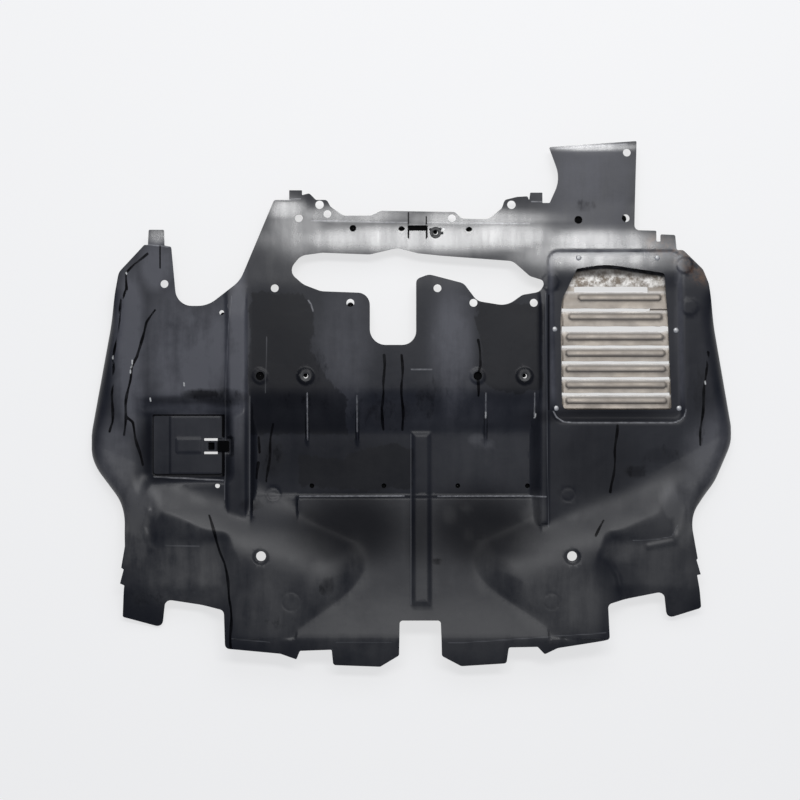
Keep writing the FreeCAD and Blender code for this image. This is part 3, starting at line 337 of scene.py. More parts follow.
# Painted highlights along ledges, gusset tops, lips and folds that catch the light, with some rubbed edges
LIT_AND_WORN_EDGES = [
    [(299, 497), (404, 496.5)], [(438, 497), (546, 496.5)], [(411, 369.5), (432, 369.5)],
    [(307, 393), (307, 440)], [(357, 395), (357, 432)], [(486, 393), (486, 416)],
    [(535, 393), (535, 416)], [(153, 477), (223, 480.5)],
    [(553.4, 411), (556.7, 417.2), (563.2, 421.6), (572, 422.8), (673.8, 422.8), (680.3, 420.4),
     (684.6, 416.1), (686.4, 409)],
    [(311, 220), (408, 222)], [(427, 222), (530, 223)], [(556, 148), (628, 143)],
    [(143, 244), (171, 247)], [(308, 300), (311, 304), (313, 311)], [(282, 199), (300, 198)],
    [(532, 201), (545, 201)],
]
# Painted shadow in narrow gaps: round the door, in the slits of the snap tab and beside the frame of the
# louvred panel
GAP_SHADOW_LINES = [
    [(408.5, 212), (408.5, 239)], [(426.4, 216), (426.4, 239)], [(160, 246), (160, 268)],
    [(549, 295), (549, 410)],
    [(221.8, 437), (221.8, 415.2), (152.2, 415.2), (152.2, 474.9), (221.8, 474.9), (221.8, 452)],
    [(223.2, 437), (223.2, 415)], [(223.2, 452), (223.2, 476.2), (153, 476.2)],
]
# Edges of beads and folds that catch a little light
FAINT_LINES = [
    [(231.8, 296), (228.5, 330), (227, 360), (225.3, 394), (224.5, 500)], [(250, 396), (249.5, 511)],
    [(266.6, 337), (265.5, 393)], [(410.8, 434), (410.8, 604)],
    [(545.5, 293), (546.8, 420), (548.4, 527)], [(232, 637), (271, 640.5)], [(336, 640.5), (392, 640.5)],
    [(448, 641), (462, 641), (605, 631)], [(549, 250), (640, 250)],
    [(632, 540), (655, 539), (671, 536), (677, 524)], [(166, 545), (200, 546)],
]
# Dried pools with a tide mark round them
POOLS = [
    [(250, 292), (300, 294), (308, 302), (313, 313), (312, 330), (311, 348), (316, 362), (324, 374),
     (332, 386), (346, 400), (346, 434), (250, 434)],
    [(480, 298), (542, 306), (542, 388), (520, 394), (496, 390), (482, 380), (483, 360), (479, 340),
     (477, 318)],
    [(300, 456), (340, 460), (362, 450), (392, 445), (412, 450), (412, 489), (362, 491), (300, 485)],
]
# Soft fields of dark smudges: middle, half width, half height and amount
SMUDGES = [
    (203, 394, 22, 6, 1.0), (328, 585, 9, 12, 0.7), (437, 561, 6, 5, 0.9), (250, 505, 14, 8, 0.7),
    (310, 515, 16, 8, 0.6), (635, 472, 14, 8, 0.8), (318, 370, 12, 30, 0.6), (300, 402, 40, 12, 0.8),
    (225, 398, 30, 10, 0.8), (385, 415, 40, 22, 0.6), (272, 460, 14, 24, 0.7), (505, 335, 26, 38, 0.5),
    (430, 400, 20, 24, 0.6), (660, 455, 24, 12, 0.6), (150, 600, 24, 14, 0.5), (280, 622, 24, 10, 0.5),
    (585, 206, 14, 8, 0.6), (470, 540, 24, 20, 0.5), (700, 400, 8, 50, 0.6),
]
# Soft fields of dust, some of them painted light on the lit side margins and wing walls: middle, half width,
# half height and amount
DUST_AND_LIGHT_FIELDS = [
    (190, 350, 40, 60, 0.78), (130, 350, 14, 70, 0.9), (238, 350, 8, 80, 1.0), (345, 350, 24, 60, 0.35),
    (452, 350, 19, 60, 0.6), (400, 412, 140, 14, 0.14), (490, 460, 48, 30, 0.1), (150, 490, 60, 24, 0.08),
    (115, 465, 18, 40, 0.6), (137, 528, 15, 42, 0.95), (683, 520, 10, 28, 0.85), (628, 550, 22, 12, 0.5),
    (190, 552, 30, 10, 0.5), (190, 528, 32, 15, 0.42), (640, 527, 34, 12, 0.3), (357, 568, 10, 26, 0.45),
    (484, 566, 10, 26, 0.4), (186, 409, 36, 5, 0.5), (510, 345, 26, 40, 0.12), (670, 501, 9, 17, 0.85),
    (153, 503, 9, 15, 0.85), (660, 520, 14, 16, 0.35), (157, 265, 16, 24, 0.75), (690, 490, 12, 20, 0.6),
    (188, 572, 50, 34, 0.7), (275, 605, 40, 36, 0.42), (555, 600, 45, 40, 0.55), (380, 632, 80, 32, 0.38),
    (470, 632, 80, 32, 0.34), (330, 590, 26, 24, 0.5), (515, 590, 26, 24, 0.3), (665, 570, 35, 45, 0.36),
    (712, 460, 24, 45, 0.6), (670, 490, 40, 20, 0.1), (595, 180, 45, 50, 0.6), (280, 545, 50, 14, 0.3),
    (545, 538, 50, 12, 0.3), (585, 465, 30, 40, 0.12), (700, 360, 14, 60, 0.15), (190, 445, 30, 30, 0.2),
    (420, 600, 14, 30, 0.12), (537, 512, 8, 16, 0.5), (345, 345, 26, 50, 0.3), (436, 337, 5, 6, 0.5),
    (444, 345, 6, 4, 0.5), (478, 440, 8, 6, 0.4), (489, 445, 6, 5, 0.4), (463, 300, 6, 5, 0.4),
    (450, 516, 6, 8, 0.3), (467, 509, 5, 4, 0.3), (469, 536, 5, 6, 0.3), (527, 516, 5, 7, 0.3),
]
# Glossy fields, where the rear strip mirrors the light
GLOSS_FIELDS = [
    (157, 236, 9, 7, 0.8), (600, 259, 60, 10, 1.0), (420, 238, 140, 14, 1.0), (595, 240, 62, 11, 1.0),
    (592, 146, 42, 4, 1.0), (300, 230, 30, 26, 0.65), (600, 252, 75, 20, 1.0), (500, 236, 60, 14, 1.0),
    (660, 262, 26, 14, 0.4), (287, 208, 20, 12, 0.9), (350, 214, 60, 9, 0.85), (480, 218, 70, 9, 0.85),
]
# Dull fields, where grime takes the shine away
DULL_FIELDS = [
    (352, 528, 54, 34, 1.0), (480, 528, 50, 34, 1.0), (186, 400, 38, 4, 0.9), (146, 446, 5, 28, 0.7),
    (600, 416, 70, 8, 0.9), (590, 460, 40, 36, 0.6), (700, 360, 16, 70, 0.5), (420, 530, 20, 30, 0.7),
    (280, 350, 24, 60, 0.35), (505, 350, 28, 50, 0.3), (330, 460, 70, 24, 0.4),
]
RUST_STAIN = [(655, 243), (672, 250), (688, 258), (700, 276)]
# Names under which the mesh keeps the strokes and the soft fields for the material
STROKES = {"gap_shadow": GAP_SHADOW_LINES, "chip_and_glint": CHIPS_AND_GLINTS, "faint": FAINT_LINES, "lit_and_worn": LIT_AND_WORN_EDGES}
SOFT_FIELDS = {"stain": SMUDGES, "gloss": GLOSS_FIELDS, "dull": DULL_FIELDS}

# Colours that the materials share out, each with its opacity
SMUDGE_BLACK = (0.004, 0.004, 0.005, 1.0)
GRIME_BLACK = (0.003, 0.003, 0.004, 1.0)
WET_AND_SHADOW_BLACK = (0.0015, 0.0015, 0.002, 1.0)
DEEP_BLACK = (0.001, 0.001, 0.0012, 1.0)
CHIP_AND_GLINT_GREY = (0.6, 0.6, 0.58, 1.0)
METAL_CLOUD = (0.24, 0.21, 0.18, 1.0)
METAL_STREAK = (0.5, 0.47, 0.43, 1.0)
CRUST_BROWN = (0.16, 0.13, 0.1, 1.0)
CRUST_PALE = (0.72, 0.7, 0.66, 1.0)
HIGHLIGHT_METAL = (0.62, 0.6, 0.57, 1.0)
METAL_SHADE_AND_GRIME = (0.035, 0.03, 0.026, 1.0)
RIVET_GREYS = ((0.34, 0.34, 0.34, 1.0), (0.55, 0.55, 0.54, 1.0))
CLIP_BLACKS = ((0.008, 0.008, 0.008, 1.0), (0.05, 0.05, 0.05, 1.0))
HOLE_SHADOW_BLACKS = (DEEP_BLACK, (0.006, 0.006, 0.006, 1.0))

# Numbers of the two value sockets and the result of a mix node
MIX_SOCKETS = {"FLOAT": (2, 3, 0), "RGBA": (6, 7, 2)}

# Stage: lamps as name, place, aim, width, depth and power
LAMPS = (
    ("key", (0.25, 1.75, 1.9), (0.0, 0.05, 0.0), 2.2, 1.3, 19.0),
    ("ceiling", (0.12, 1.12, 3.0), (0.05, 0.1, 0.0), 1.9, 0.42, 48.0),
)
WORLD_COLOUR = (0.17, 0.192, 0.25, 1.0)
FLOOR_HALF = 40.0
FLOOR_GLOW = 0.96
FLOOR_GLOW_SHARE = 0.72
CAMERA_DISTANCE = 3.0
SENSOR_WIDTH = 36.0


def smooth_min(a, b, k):
    """The lower of two heights, with the fold between them rounded where they are less than k apart."""
    near = np.maximum(k - np.abs(a - b), 0.0) / k
    return np.minimum(a, b) - near * near * k / 4


def smooth_max(a, b, k):
    """The higher of two heights, with the fold between them rounded where they are less than k apart."""
    return -smooth_min(-a, -b, k)


def ease(low, high, value):
    """0 below low, 1 above high, and a smooth S between them."""
    t = np.clip((value - low) / (high - low), 0.0, 1.0)
    return t * t * (3 - 2 * t)


def side_distances(corners, x, y):
    """Distance of each point outside each side of a polygon with clockwise corners, one row for a side."""
    start = np.array(corners, float)[:, :2]
    along = np.roll(start, -1, axis=0) - start
    along /= np.hypot(along[:, 0], along[:, 1])[:, None]
    dx = x[None, :] - start[:, :1]
    dy = y[None, :] - start[:, 1:2]
    return along[:, :1] * dy - along[:, 1:2] * dx


def outside_distance(corners, x, y, radius):
    """Distance outside a four-sided plan whose corners have a radius: sides one and three make one pair and
    sides two and four the other, and the two excesses add as the legs of a right triangle."""
    sides = side_distances(corners, x, y) + radius
    first = np.maximum(sides[0], sides[2])
    second = np.maximum(sides[1], sides[3])
    outer = np.hypot(np.maximum(first, 0.0), np.maximum(second, 0.0))
    return outer + np.minimum(np.maximum(first, second), 0.0) - radius


def path_distance(points, x, y):
    """Distance of each point from the nearest stretch of a path of straight runs."""
    best = np.full(x.shape, np.inf)
    for (x0, y0), (x1, y1) in zip(points, points[1:]):
        length = math.hypot(x1 - x0, y1 - y0)
        t = np.clip(((x - x0) * (x1 - x0) + (y - y0) * (y1 - y0)) / length ** 2, 0.0, 1.0)
        best = np.minimum(best, np.hypot(x - x0 - t * (x1 - x0), y - y0 - t * (y1 - y0)))
    return best


def from_photo(points):
    """Pixels of the photograph as millimetres of the plan."""
    return [((px - PIXEL_ORIGIN[0]) * PIXEL, (PIXEL_ORIGIN[1] - py) * PIXEL) for px, py in points]


def rounded_path(corners, step, closed):
    """Points along straight runs and tangent arcs. An arc's radius is cut to what its two runs allow."""
    places = np.array(corners, float)
    corner = places[:, :2]
    back = np.roll(corner, 1, axis=0) - corner
    ahead = np.roll(corner, -1, axis=0) - corner
    back_length = np.hypot(back[:, 0], back[:, 1])
    ahead_length = np.hypot(ahead[:, 0], ahead[:, 1])
    back /= back_length[:, None]
    ahead /= ahead_length[:, None]
    half = np.arccos(np.clip((back * ahead).sum(1), -1.0, 1.0)) / 2
    reach = np.minimum(places[:, 2] / np.tan(half), 0.49 * np.minimum(back_length, ahead_length))
    if not closed:
        reach[[0, -1]] = 0.0
    middle = back + ahead
    middle /= np.maximum(np.hypot(middle[:, 0], middle[:, 1]), 1e-9)[:, None]
    centre = corner + middle * (reach / np.cos(half))[:, None]
    stretches = []
    for i in range(len(corner)):
        start = corner[i] + back[i] * reach[i]
        end = corner[i] + ahead[i] * reach[i]
        if reach[i] > 0.05:
            radius = reach[i] * math.tan(half[i])
            first = math.atan2(start[1] - centre[i, 1], start[0] - centre[i, 0])
            turn = math.atan2(end[1] - centre[i, 1], end[0] - centre[i, 0]) - first
            turn = (turn + math.pi) % (2 * math.pi) - math.pi
            count = max(2, math.ceil(abs(turn) * radius / step), math.ceil(abs(turn) / 0.35))
            angle = first + turn * np.linspace(0.0, 1.0, count + 1)
            stretches.append(centre[i] + radius * np.column_stack([np.cos(angle), np.sin(angle)]))
        else:
            stretches.append(corner[i][None, :])
        if closed or i < len(corner) - 1:
            k = (i + 1) % len(corner)
            stop = corner[k] + back[k] * reach[k]
            count = max(1, round(math.hypot(*(stop - end)) / step))
            t = np.linspace(0.0, 1.0, count + 1)[1:-1, None]
            stretches.append(end + (stop - end) * t)
    return np.vstack(stretches)


def circle(place, radius, count=28):
    """Points round a circle."""
    angle = np.linspace(0.0, 2 * math.pi, count, endpoint=False)
    return np.column_stack([place[0] + radius * np.cos(angle), place[1] + radius * np.sin(angle)])


def inside(loops, x, y):
    """True for points with an odd number of loop edges on their right."""
    odd = np.zeros(x.shape, bool)
    for loop in loops:
        x0, y0 = loop.T
        x1, y1 = np.roll(loop, -1, axis=0).T
        for part in np.array_split(np.arange(len(loop)), max(1, len(loop) // 40)):
            a = (y0[part, None] > y) != (y1[part, None] > y)
            rise = np.where(y1[part] == y0[part], 1e-9, y1[part] - y0[part])
            cross = x0[part, None] + (y - y0[part, None]) * ((x1[part] - x0[part]) / rise)[:, None]
            odd ^= (np.sum(a & (x < cross), axis=0) % 2).astype(bool)
    return odd


def plan_points(loops, height, coarse, folds, tolerance, keep_fine=None):
    """Places for a sheet's vertices. A grid of fine squares is laid over the plan. Points stay where the
    height bends by more than the tolerance or keep_fine says so, and elsewhere only every few of them.
    Points within half a square of an edge are left out, because the edge has its own."""
    fine = coarse / folds
    edge = np.vstack(loops)
    low = np.floor(edge.min(0) / coarse) * coarse
    count = np.ceil((edge.max(0) - low) / fine).astype(int) + 1
    gx, gy = np.meshgrid(low[0] + fine * np.arange(count[0]), low[1] + fine * np.arange(count[1]))
    z = height(gx.ravel(), gy.ravel()).reshape(gx.shape)
    bend = np.zeros_like(z)
    bend[:, 1:-1] = np.abs(z[:, 2:] + z[:, :-2] - 2 * z[:, 1:-1])
    bend[1:-1] = np.maximum(bend[1:-1], np.abs(z[2:] + z[:-2] - 2 * z[1:-1]))
    keep = bend > tolerance
    if keep_fine:
        keep |= keep_fine(gx.ravel(), gy.ravel()).reshape(gx.shape)
    keep[::folds, ::folds] = True
    dense = []
    for loop in loops:
        for t in np.linspace(0.0, 1.0, 6, endpoint=False):
            dense.append(loop + t * (np.roll(loop, -1, axis=0) - loop))
    spot = np.rint((np.vstack(dense) - low) / fine).astype(int)
    keep[spot[:, 1], spot[:, 0]] = False
    chosen = np.column_stack([gx[keep], gy[keep]])
    return chosen[inside(loops, chosen[:, 0], chosen[:, 1])]


def plan_mesh(loops, points):
    """Triangles of the plan between its edge loops, with the loops' points first among the vertices."""
    places = np.vstack(loops + [points])
    edges = []
    first = 0
    for loop in loops:
        index = first + np.arange(len(loop))
        edges.append(np.column_stack([index, np.roll(index, -1)]))
        first += len(loop)
    corners = [Vector(corner) for corner in places.tolist()]
    made = delaunay_2d_cdt(corners, np.vstack(edges).tolist(), [], 0, 1e-5, False)
    flat = np.array([tuple(v) for v in made[0]])
    triangles = np.array(made[2])
    middle = flat[triangles].mean(1)
    triangles = triangles[inside(loops, middle[:, 0], middle[:, 1])]
    a, b, c = flat[triangles[:, 0]], flat[triangles[:, 1]], flat[triangles[:, 2]]
    area = (b[:, 0] - a[:, 0]) * (c[:, 1] - a[:, 1]) - (b[:, 1] - a[:, 1]) * (c[:, 0] - a[:, 0])
    triangles[area < 0] = triangles[area < 0][:, ::-1]
    return flat, triangles[np.abs(area) > SLIVER_AREA]


def to_frame(x, y, z):
    """Millimetres of the drawing as metres of the frame."""
    return np.column_stack([x * MM + PLAN_SHIFT[0], y * MM + PLAN_SHIFT[1], z * MM])


def add_piece(name, vertices, faces, material, body, nodes):
    """A finished mesh object that rides on a body and stands for its nodes."""
    mesh = bpy.data.meshes.new(name)
    mesh.from_pydata(vertices.tolist(), [], faces)
    mesh.polygons.foreach_set("use_smooth", np.ones(len(mesh.polygons), bool))
    weld = bmesh.new()
    weld.from_mesh(mesh)
    bmesh.ops.remove_doubles(weld, verts=weld.verts, dist=WELD_GAP * MM)
    weld.to_mesh(mesh)
    weld.free()
    mesh.set_sharp_from_angle(angle=math.radians(SHARP_ANGLE))
    uses = np.empty(len(mesh.loops), np.int32)
    mesh.loops.foreach_get("edge_index", uses)
    sharp = np.empty(len(mesh.edges), bool)
    mesh.edges.foreach_get("use_edge_sharp", sharp)
    sharp |= np.bincount(uses, minlength=len(mesh.edges)) == 1
    mesh.edges.foreach_set("use_edge_sharp", sharp)
    mesh.materials.append(material)
    piece = bpy.data.objects.new(name, mesh)
    bpy.context.scene.collection.objects.link(piece)
    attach(piece, body)
    if nodes:
        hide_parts(*nodes)
    return piece


def plan_of(piece):
    """Places of a piece's vertices in millimetres of the drawing."""
    places = np.empty(3 * len(piece.data.vertices), np.float32)
    piece.data.vertices.foreach_get("co", places)
    x, y, z = places.reshape(-1, 3).astype(float).T
    return (x - PLAN_SHIFT[0]) / MM, (y - PLAN_SHIFT[1]) / MM, z / MM


def thicken(piece, thickness):
    """Gives an open skin its wall, on the engine side of the road face."""
    wall = piece.modifiers.new("wall", "SOLIDIFY")
    wall.thickness = thickness
    wall.offset = -1.0
    wall.use_even_offset = False


def mark(piece, name, values):
    """Keeps a number for each vertex, for the material to read."""
    piece.data.attributes.new(name, "FLOAT", "POINT").data.foreach_set("value", values.astype(np.float32))


def centre_relief(x, y):
    """Deck with the centre floor let into it: the floor, the long step behind it and two steep sides. The
    ramp then rises from the ledge to the front fold on a slightly hollow slope."""
    step = FLOOR_Z + (y - STEP_FRONT_Y) * (DECK_Z - FLOOR_Z) / (STEP_REAR_Y - STEP_FRONT_Y)
    floor = smooth_max(FLOOR_Z, step, 3.0)
    floor = smooth_max(floor, FLOOR_Z + (FLOOR_LEFT_X - x) / FLOOR_SIDE_RUN, 2.5)
    floor = smooth_max(floor, FLOOR_Z + (x - FLOOR_RIGHT_X) / FLOOR_SIDE_RUN, 2.5)
    z = smooth_min(DECK_Z, floor, 4.0)
    left, right = LEDGE_X
    on_ledge = ease(left - LEDGE_FADE, left, x) * (1 - ease(right, right + LEDGE_FADE, x))
    rise = LEDGE_RISE * (0.3 + 0.7 * on_ledge)
    share = np.maximum((LEDGE_Y - y) / (LEDGE_Y - FRONT_FOLD_Y), -0.2)
    ramp = FLOOR_Z + rise + (CHEEK_Z - FLOOR_Z - LEDGE_RISE) * (0.7 * share + 0.3 * share * np.abs(share))
    ramp = smooth_min(ramp, FLOOR_Z - 1 + (LEDGE_Y + 3 - y) / 0.8, 1.0)
    ramp = smooth_min(ramp, FLOOR_Z + (x - FLOOR_LEFT_X) / 0.4, 3.0)
    ramp = smooth_min(ramp, FLOOR_Z + (FLOOR_RIGHT_X + 50 - x) / 0.4, 3.0)
    return smooth_max(z, ramp, 1.0)


def cheek_relief(corners, outer_side, inner_side, nose_x, x, y):
    """A flat cheek: its band falls evenly behind the crest, its other sides fall more steeply, and a blunt
    nose ends it towards the middle of the tray."""
    sides = side_distances(corners, x, y)
    top = smooth_min(CHEEK_Z, CHEEK_Z - sides[0] / BAND_RUN, 22.0)
    top = smooth_min(top, CHEEK_Z - sides[outer_side] / OUTER_RUN, 14.0)
    top = smooth_min(top, CHEEK_Z - (nose_x - x) * np.sign(nose_x) / NOSE_RUN, 16.0)
    inner = np.where(y < FRONT_FOLD_Y, CHEEK_Z, CHEEK_Z - sides[inner_side] / INNER_RUN)
    return smooth_min(top, inner, 14.0)


def wing_relief(inner_x, x, y):
    """Space over a lowered wing: a floor, a long facet behind it, an inner wall and the bent corner tab."""
    outward = np.sign(inner_x)
    run = WING_FACET_RUN[0] + (WING_FACET_RUN[1] - WING_FACET_RUN[0]) * ease(330, 415, np.abs(x))
    floor = smooth_max(WING_Z, WING_Z + (y - WING_FLOOR_REAR_Y) / run, 2.5)
    pocket_end = np.maximum(np.abs(x) - WING_POCKET_X, 0.0) * ease(-226, -200, y)
    floor = floor + np.minimum(pocket_end / 1.6, 12.0)
    tab = smooth_min(floor, WING_Z + WING_TAB_FALL * (y - WING_FOLD_Y), 4.0)
    floor = np.where(y < WING_FOLD_Y + 30, tab, floor)
    bowed = inner_x - outward * 9.0 * np.sin(np.clip((y + 235) / -90.0, 0.0, 1.0) * math.pi)
    return smooth_max(floor, WING_Z + outward * (bowed - x) / WING_WALL_RUN, 7.0)


def bead_relief(corners, rise, rounding, x, y):
    """A raised bead: a flat top and sloping sides, with a rounded edge between them."""
    sides = DECK_Z + rise - np.max(side_distances(corners, x, y), axis=0) / BEAD_SIDE_RUN
    return smooth_min(DECK_Z + rise, sides, rounding)


def rear_relief(x, y):
    """Slope down from the deck to the rear rail, which falls away towards its edge. It leaves out the deck
    on the left of the recess."""
    rail_fall = RAIL_FALL + ARM_FALL * (1.0 - ease(*ARM_X, x))
    rail = RAIL_Z - rail_fall * np.clip(y - REAR_FOLD_Y, 0.0, RAIL_FALL_LENGTH)
    rear = smooth_max(rail, DECK_Z - REAR_FALL * (y - REAR_SLOPE_Y), 0.6)
    return rear + 30 * (1 - ease(RECESS_MOUTH_X - RECESS_MOUTH_HALF, RECESS_MOUTH_X + RECESS_MOUTH_HALF, x))


def vent_relief(rear, x, y):
    """Space over the sunk frame of the louvred panel, whose rear end rises to meet the rear slope."""
    wall = outside_distance(VENT_RECESS, x, y, VENT_CORNER) / VENT_WALL_RUN
    floor = smooth_min(VENT_Z + VENT_REAR_RISE * ease(185, 222, y), rear - 0.4, 1.0)
    return smooth_max(floor, np.minimum(rear, DECK_Z) + wall, 2.0)


def door_relief(x, y):
    """Space over the recess of the service door and the notch for its tongue."""
    run = 0.5 + np.maximum(1 - ease(-450, -425, x), ease(-25, -5, y)) + 0.2 * ease(-320, -305, x)
    wall = outside_distance(DOOR_RECESS, x, y, DOOR_CORNER) / run
    wall = np.minimum(wall, outside_distance(DOOR_NOTCH, x, y, 2.0) / 0.3)
    return smooth_max(DOOR_FLOOR_Z, DOOR_FLOOR_Z + wall, 3.0)


def centre_rib_relief(base, x, y):
    """A flat bead of even rise that follows the floor, the ledge and the ramp."""
    left, right, rear, front = CENTRE_RIB
    inset = np.minimum.reduce([x - left, right - x, rear - y, y - front])
    return base + CENTRE_RIB_RISE * ease(-2.0, 8.0, inset)


def waviness(x, y):
    """Slow waves of a large moulding, a few tenths of a millimetre high."""
    wave = np.sin(x / 47 + 1.3 * np.sin(y / 83)) + 0.8 * np.sin(y / 39 + 1.1 * np.sin(x / 71) + 1.0)
    return 0.16 * wave + 0.1 * np.sin((x + y) / 23 + 2.0 * np.sin(x / 120)) - 0.4


def add_small_relief(z, x, y):
    """The face with its wing rims, bolt cups, centre rib, gussets, collars, mould marks and bent edges."""
    for rim in WING_RIMS:
        z = z + WING_RIM_RISE * (1 - ease(0.0, 8.0, path_distance(from_photo(rim), x, y)))
    for cx, cy, _ in FRONT_BOLTS:
        bottom = CHEEK_Z - CUP_DEPTH
        cup = smooth_max(bottom, bottom + 2 * (np.hypot(x - cx, y - cy) - CUP_RADIUS), 2.0)
        z = smooth_min(z, cup, 2.5)
    z = np.maximum(z, np.where(np.abs(x) < 60, centre_rib_relief(z, x, y), z))
    for gx in GUSSET_X:
        share = (GUSSET_Y[0] - y) / (GUSSET_Y[0] - GUSSET_Y[1])
        top = DECK_Z - (DECK_Z - FLOOR_Z) * share - 4.0 * np.maximum(np.abs(x - gx) - GUSSET_WIDTH / 2, 0.0)
        z = np.where((share > 0) & (share < 1), smooth_max(z, top, 0.8), z)
    for places, rise in ((CLIP_HOLES, 0.4 * COLLAR_RISE), (SLEEVE_HOLES, COLLAR_RISE)):
        for cx, cy in places:
            outside = np.maximum(np.hypot(x - cx, y - cy) - COLLAR_RADIUS, 0.0)
            z = smooth_max(z, DECK_Z + rise - 1.1 * outside, 1.0)
    for cx, cy, radius in MOULD_RINGS:
        z = z - MOULD_RING_DEPTH * np.exp(-((np.hypot(x - cx, y - cy) - radius) / 1.6) ** 2)
    for cx, cy, radius in EDGE_BOSSES:
        z = z + EDGE_BOSS_RISE * (1 - ease(radius - 1.5, radius + 1.5, np.hypot(x - cx, y - cy)))
    z = z - WING_LIP_FALL * np.maximum(WING_LIP_REACH - path_distance(WING_LIP, x, y), 0.0)
    on_tab = (x < REAR_TAB_X) & (y > REAR_TAB_Y)
    return np.where(on_tab, z - REAR_TAB_FALL * (y - REAR_TAB_Y), z)


def tray_height(x, y):
    """Height of the road face. Each feature is a height of its own, and they are joined in order: raised
    forms by the higher of the two, sunk forms by the lower, each with a rounded fold."""
    z = centre_relief(x, y)
    for corners, outer_side, inner_side, nose_x, soft_x in CHEEKS:
        seam = 3.0 + 10.0 * ease(*soft_x, x * np.sign(nose_x))
        z = smooth_max(z, cheek_relief(corners, outer_side, inner_side, nose_x, x, y), seam)
    for shoulder in SHOULDERS:
        rise = np.clip(-SHOULDER_SLOPE * side_distances(shoulder, x, y)[0], 0.0, SHOULDER_RISE)
        on_margin = ease(*SHOULDER_X, x * np.sign(shoulder[0][0]))
        z = z + rise * (on_margin * (1 - ease(DECK_Z, DECK_Z + SHOULDER_FADE, z)))
    for corners, rise, rounding, seam in BEADS:
        z = smooth_max(z, bead_relief(corners, rise, rounding, x, y), seam)
    left_wing, right_wing = (wing_relief(inner_x, x, y) for inner_x in WING_INNER_X)
    z = smooth_min(z, np.where(x < 0, left_wing, right_wing), 6.0)
    z = smooth_min(z, CHEEK_Z + FRONT_LIP_FALL * (y - FRONT_FOLD_Y), 4.0)
    rear = rear_relief(x, y)
    z = smooth_min(z, rear, 1.0)
    z = smooth_min(z, vent_relief(rear, x, y), 2.0)
    z = smooth_min(z, door_relief(x, y), 8.0)
    return np.minimum(add_small_relief(z, x, y) + waviness(x, y), CHEEK_Z)


def edge_stretch(corners):
    """Smooth path along a side of the outline, between the ends of its skirt, and its inward directions."""
    ends = sorted((SKIRT_FRONT_Y, SKIRT_REAR_Y), key=lambda level: abs(level - corners[0][1]))
    path = rounded_path(corners, EDGE_STEP, False)
    inner = (path[:, 1] < SKIRT_REAR_Y - 1) & (path[:, 1] > SKIRT_FRONT_Y + 1)
    first = on_line(corners[0], corners[1], ends[0])
    last = on_line(corners[-2], corners[-1], ends[1])
    path = np.vstack([first, path[inner], last])
    along = np.gradient(path, axis=0)
    along /= np.hypot(along[:, 0], along[:, 1])[:, None]
    return path, np.column_stack([along[:, 1], -along[:, 0]])


def on_line(first, second, y):
    """Point with the given y on the line through two corners."""
    share = (y - first[1]) / (second[1] - first[1])
    return np.array([first[0] + share * (second[0] - first[0]), y])


def skirt_rows(edge, inward, radius):
    """Rows of a rolled skirt from the deck outwards: a quarter round of the radius, then a wall down to the
    ground. Both fade to nothing at the two ends of the edge."""
    run = np.concatenate([[0.0], np.cumsum(np.hypot(*np.diff(edge, axis=0).T))])
    full = ease(0.0, SKIRT_FADE, np.minimum(run, run[-1] - run))
    turn = ROLL_TURN[1:]
    depth = np.concatenate([radius * (1 - np.sin(turn)), np.zeros(4)])
    wall = radius + (DECK_Z - radius) * np.array([0.25, 0.5, 0.75, 1.0])
    fall = np.concatenate([radius * (1 - np.cos(turn)), wall])
    x = edge[:, 0] + np.outer(depth, inward[:, 0])
    y = edge[:, 1] + np.outer(depth, inward[:, 1])
    share = fall[:, None] / DECK_Z
    z = tray_height(x.ravel(), y.ravel()).reshape(x.shape) * (1 - share * full)
    return x, y, np.maximum(z, 0.0)


def grid_faces(rows):
    """Quads between neighbouring rows of vertex numbers."""
    a, b = rows[:-1, :-1], rows[:-1, 1:]
    c, d = rows[1:, 1:], rows[1:, :-1]
    return np.stack([a, b, c, d], axis=-1).reshape(-1, 4).tolist()


def hole_loops():
    """Edge loops of every opening in the tray."""
    openings = (SUMP_OPENING, VENT_WINDOW, SERVICE_HOLE, SNAP_SLOT)
    loops = [rounded_path(corners, EDGE_STEP, True) for corners in openings]
    loops += [circle(hole, hole[2]) for hole in FRONT_BOLTS]
    clip_holes = CLIP_HOLES + SLEEVE_HOLES + [RAIL_SLEEVE_HOLE] + RING_LUGS
    for places, radius, count in ((BODY_BOLTS, BODY_BOLT_RADIUS, 28), (RAIL_LOCATORS, LOCATOR_RADIUS, 22),
                                  (clip_holes, CLIP_HOLE_RADIUS, 28), (DRAIN_HOLES, DRAIN_RADIUS, 18),
                                  (PEG_HOLES, PEG_HOLE_RADIUS, 14)):
        loops += [circle(place, radius, count) for place in places]
    return loops


def stroke_field(strokes, x, y):
    """Nearness to the nearest stroke: 1 on it, falling evenly to 0 at the mark's reach."""
    nearness = np.zeros_like(x)
    for stroke in strokes:
        nearness = np.maximum(nearness, 1 - path_distance(from_photo(stroke), x, y) / MARK_REACH)
    return nearness


def wet_field(x, y):
    """Nearness to the runs of liquid, which swell, thin and sway along their way."""
    swell = 0.55 * np.sin(y / 8.0 + x / 31.0) * np.sin(y / 19.0 + x / 17.0)
    sway = 1.1 * np.sin(y / 11.0 + x / 40.0)
    return stroke_field(WET_RUNS, x + sway, y) + swell / MARK_REACH


def field_amount(fields, x, y):
    """The strongest of soft round fields: each its amount times exp(-0.6 (u^2 + v^2)^2), u and v in its
    half sizes."""
    total = np.zeros_like(x)
    for px, py, half_width, half_height, amount in fields:
        (cx, cy), = from_photo([(px, py)])
        u = (x - cx) / (half_width * PIXEL)
        v = (y - cy) / (half_height * PIXEL)
        total = np.maximum(total, amount * np.exp(-(u * u + v * v) ** 2 * 0.6))
    return total


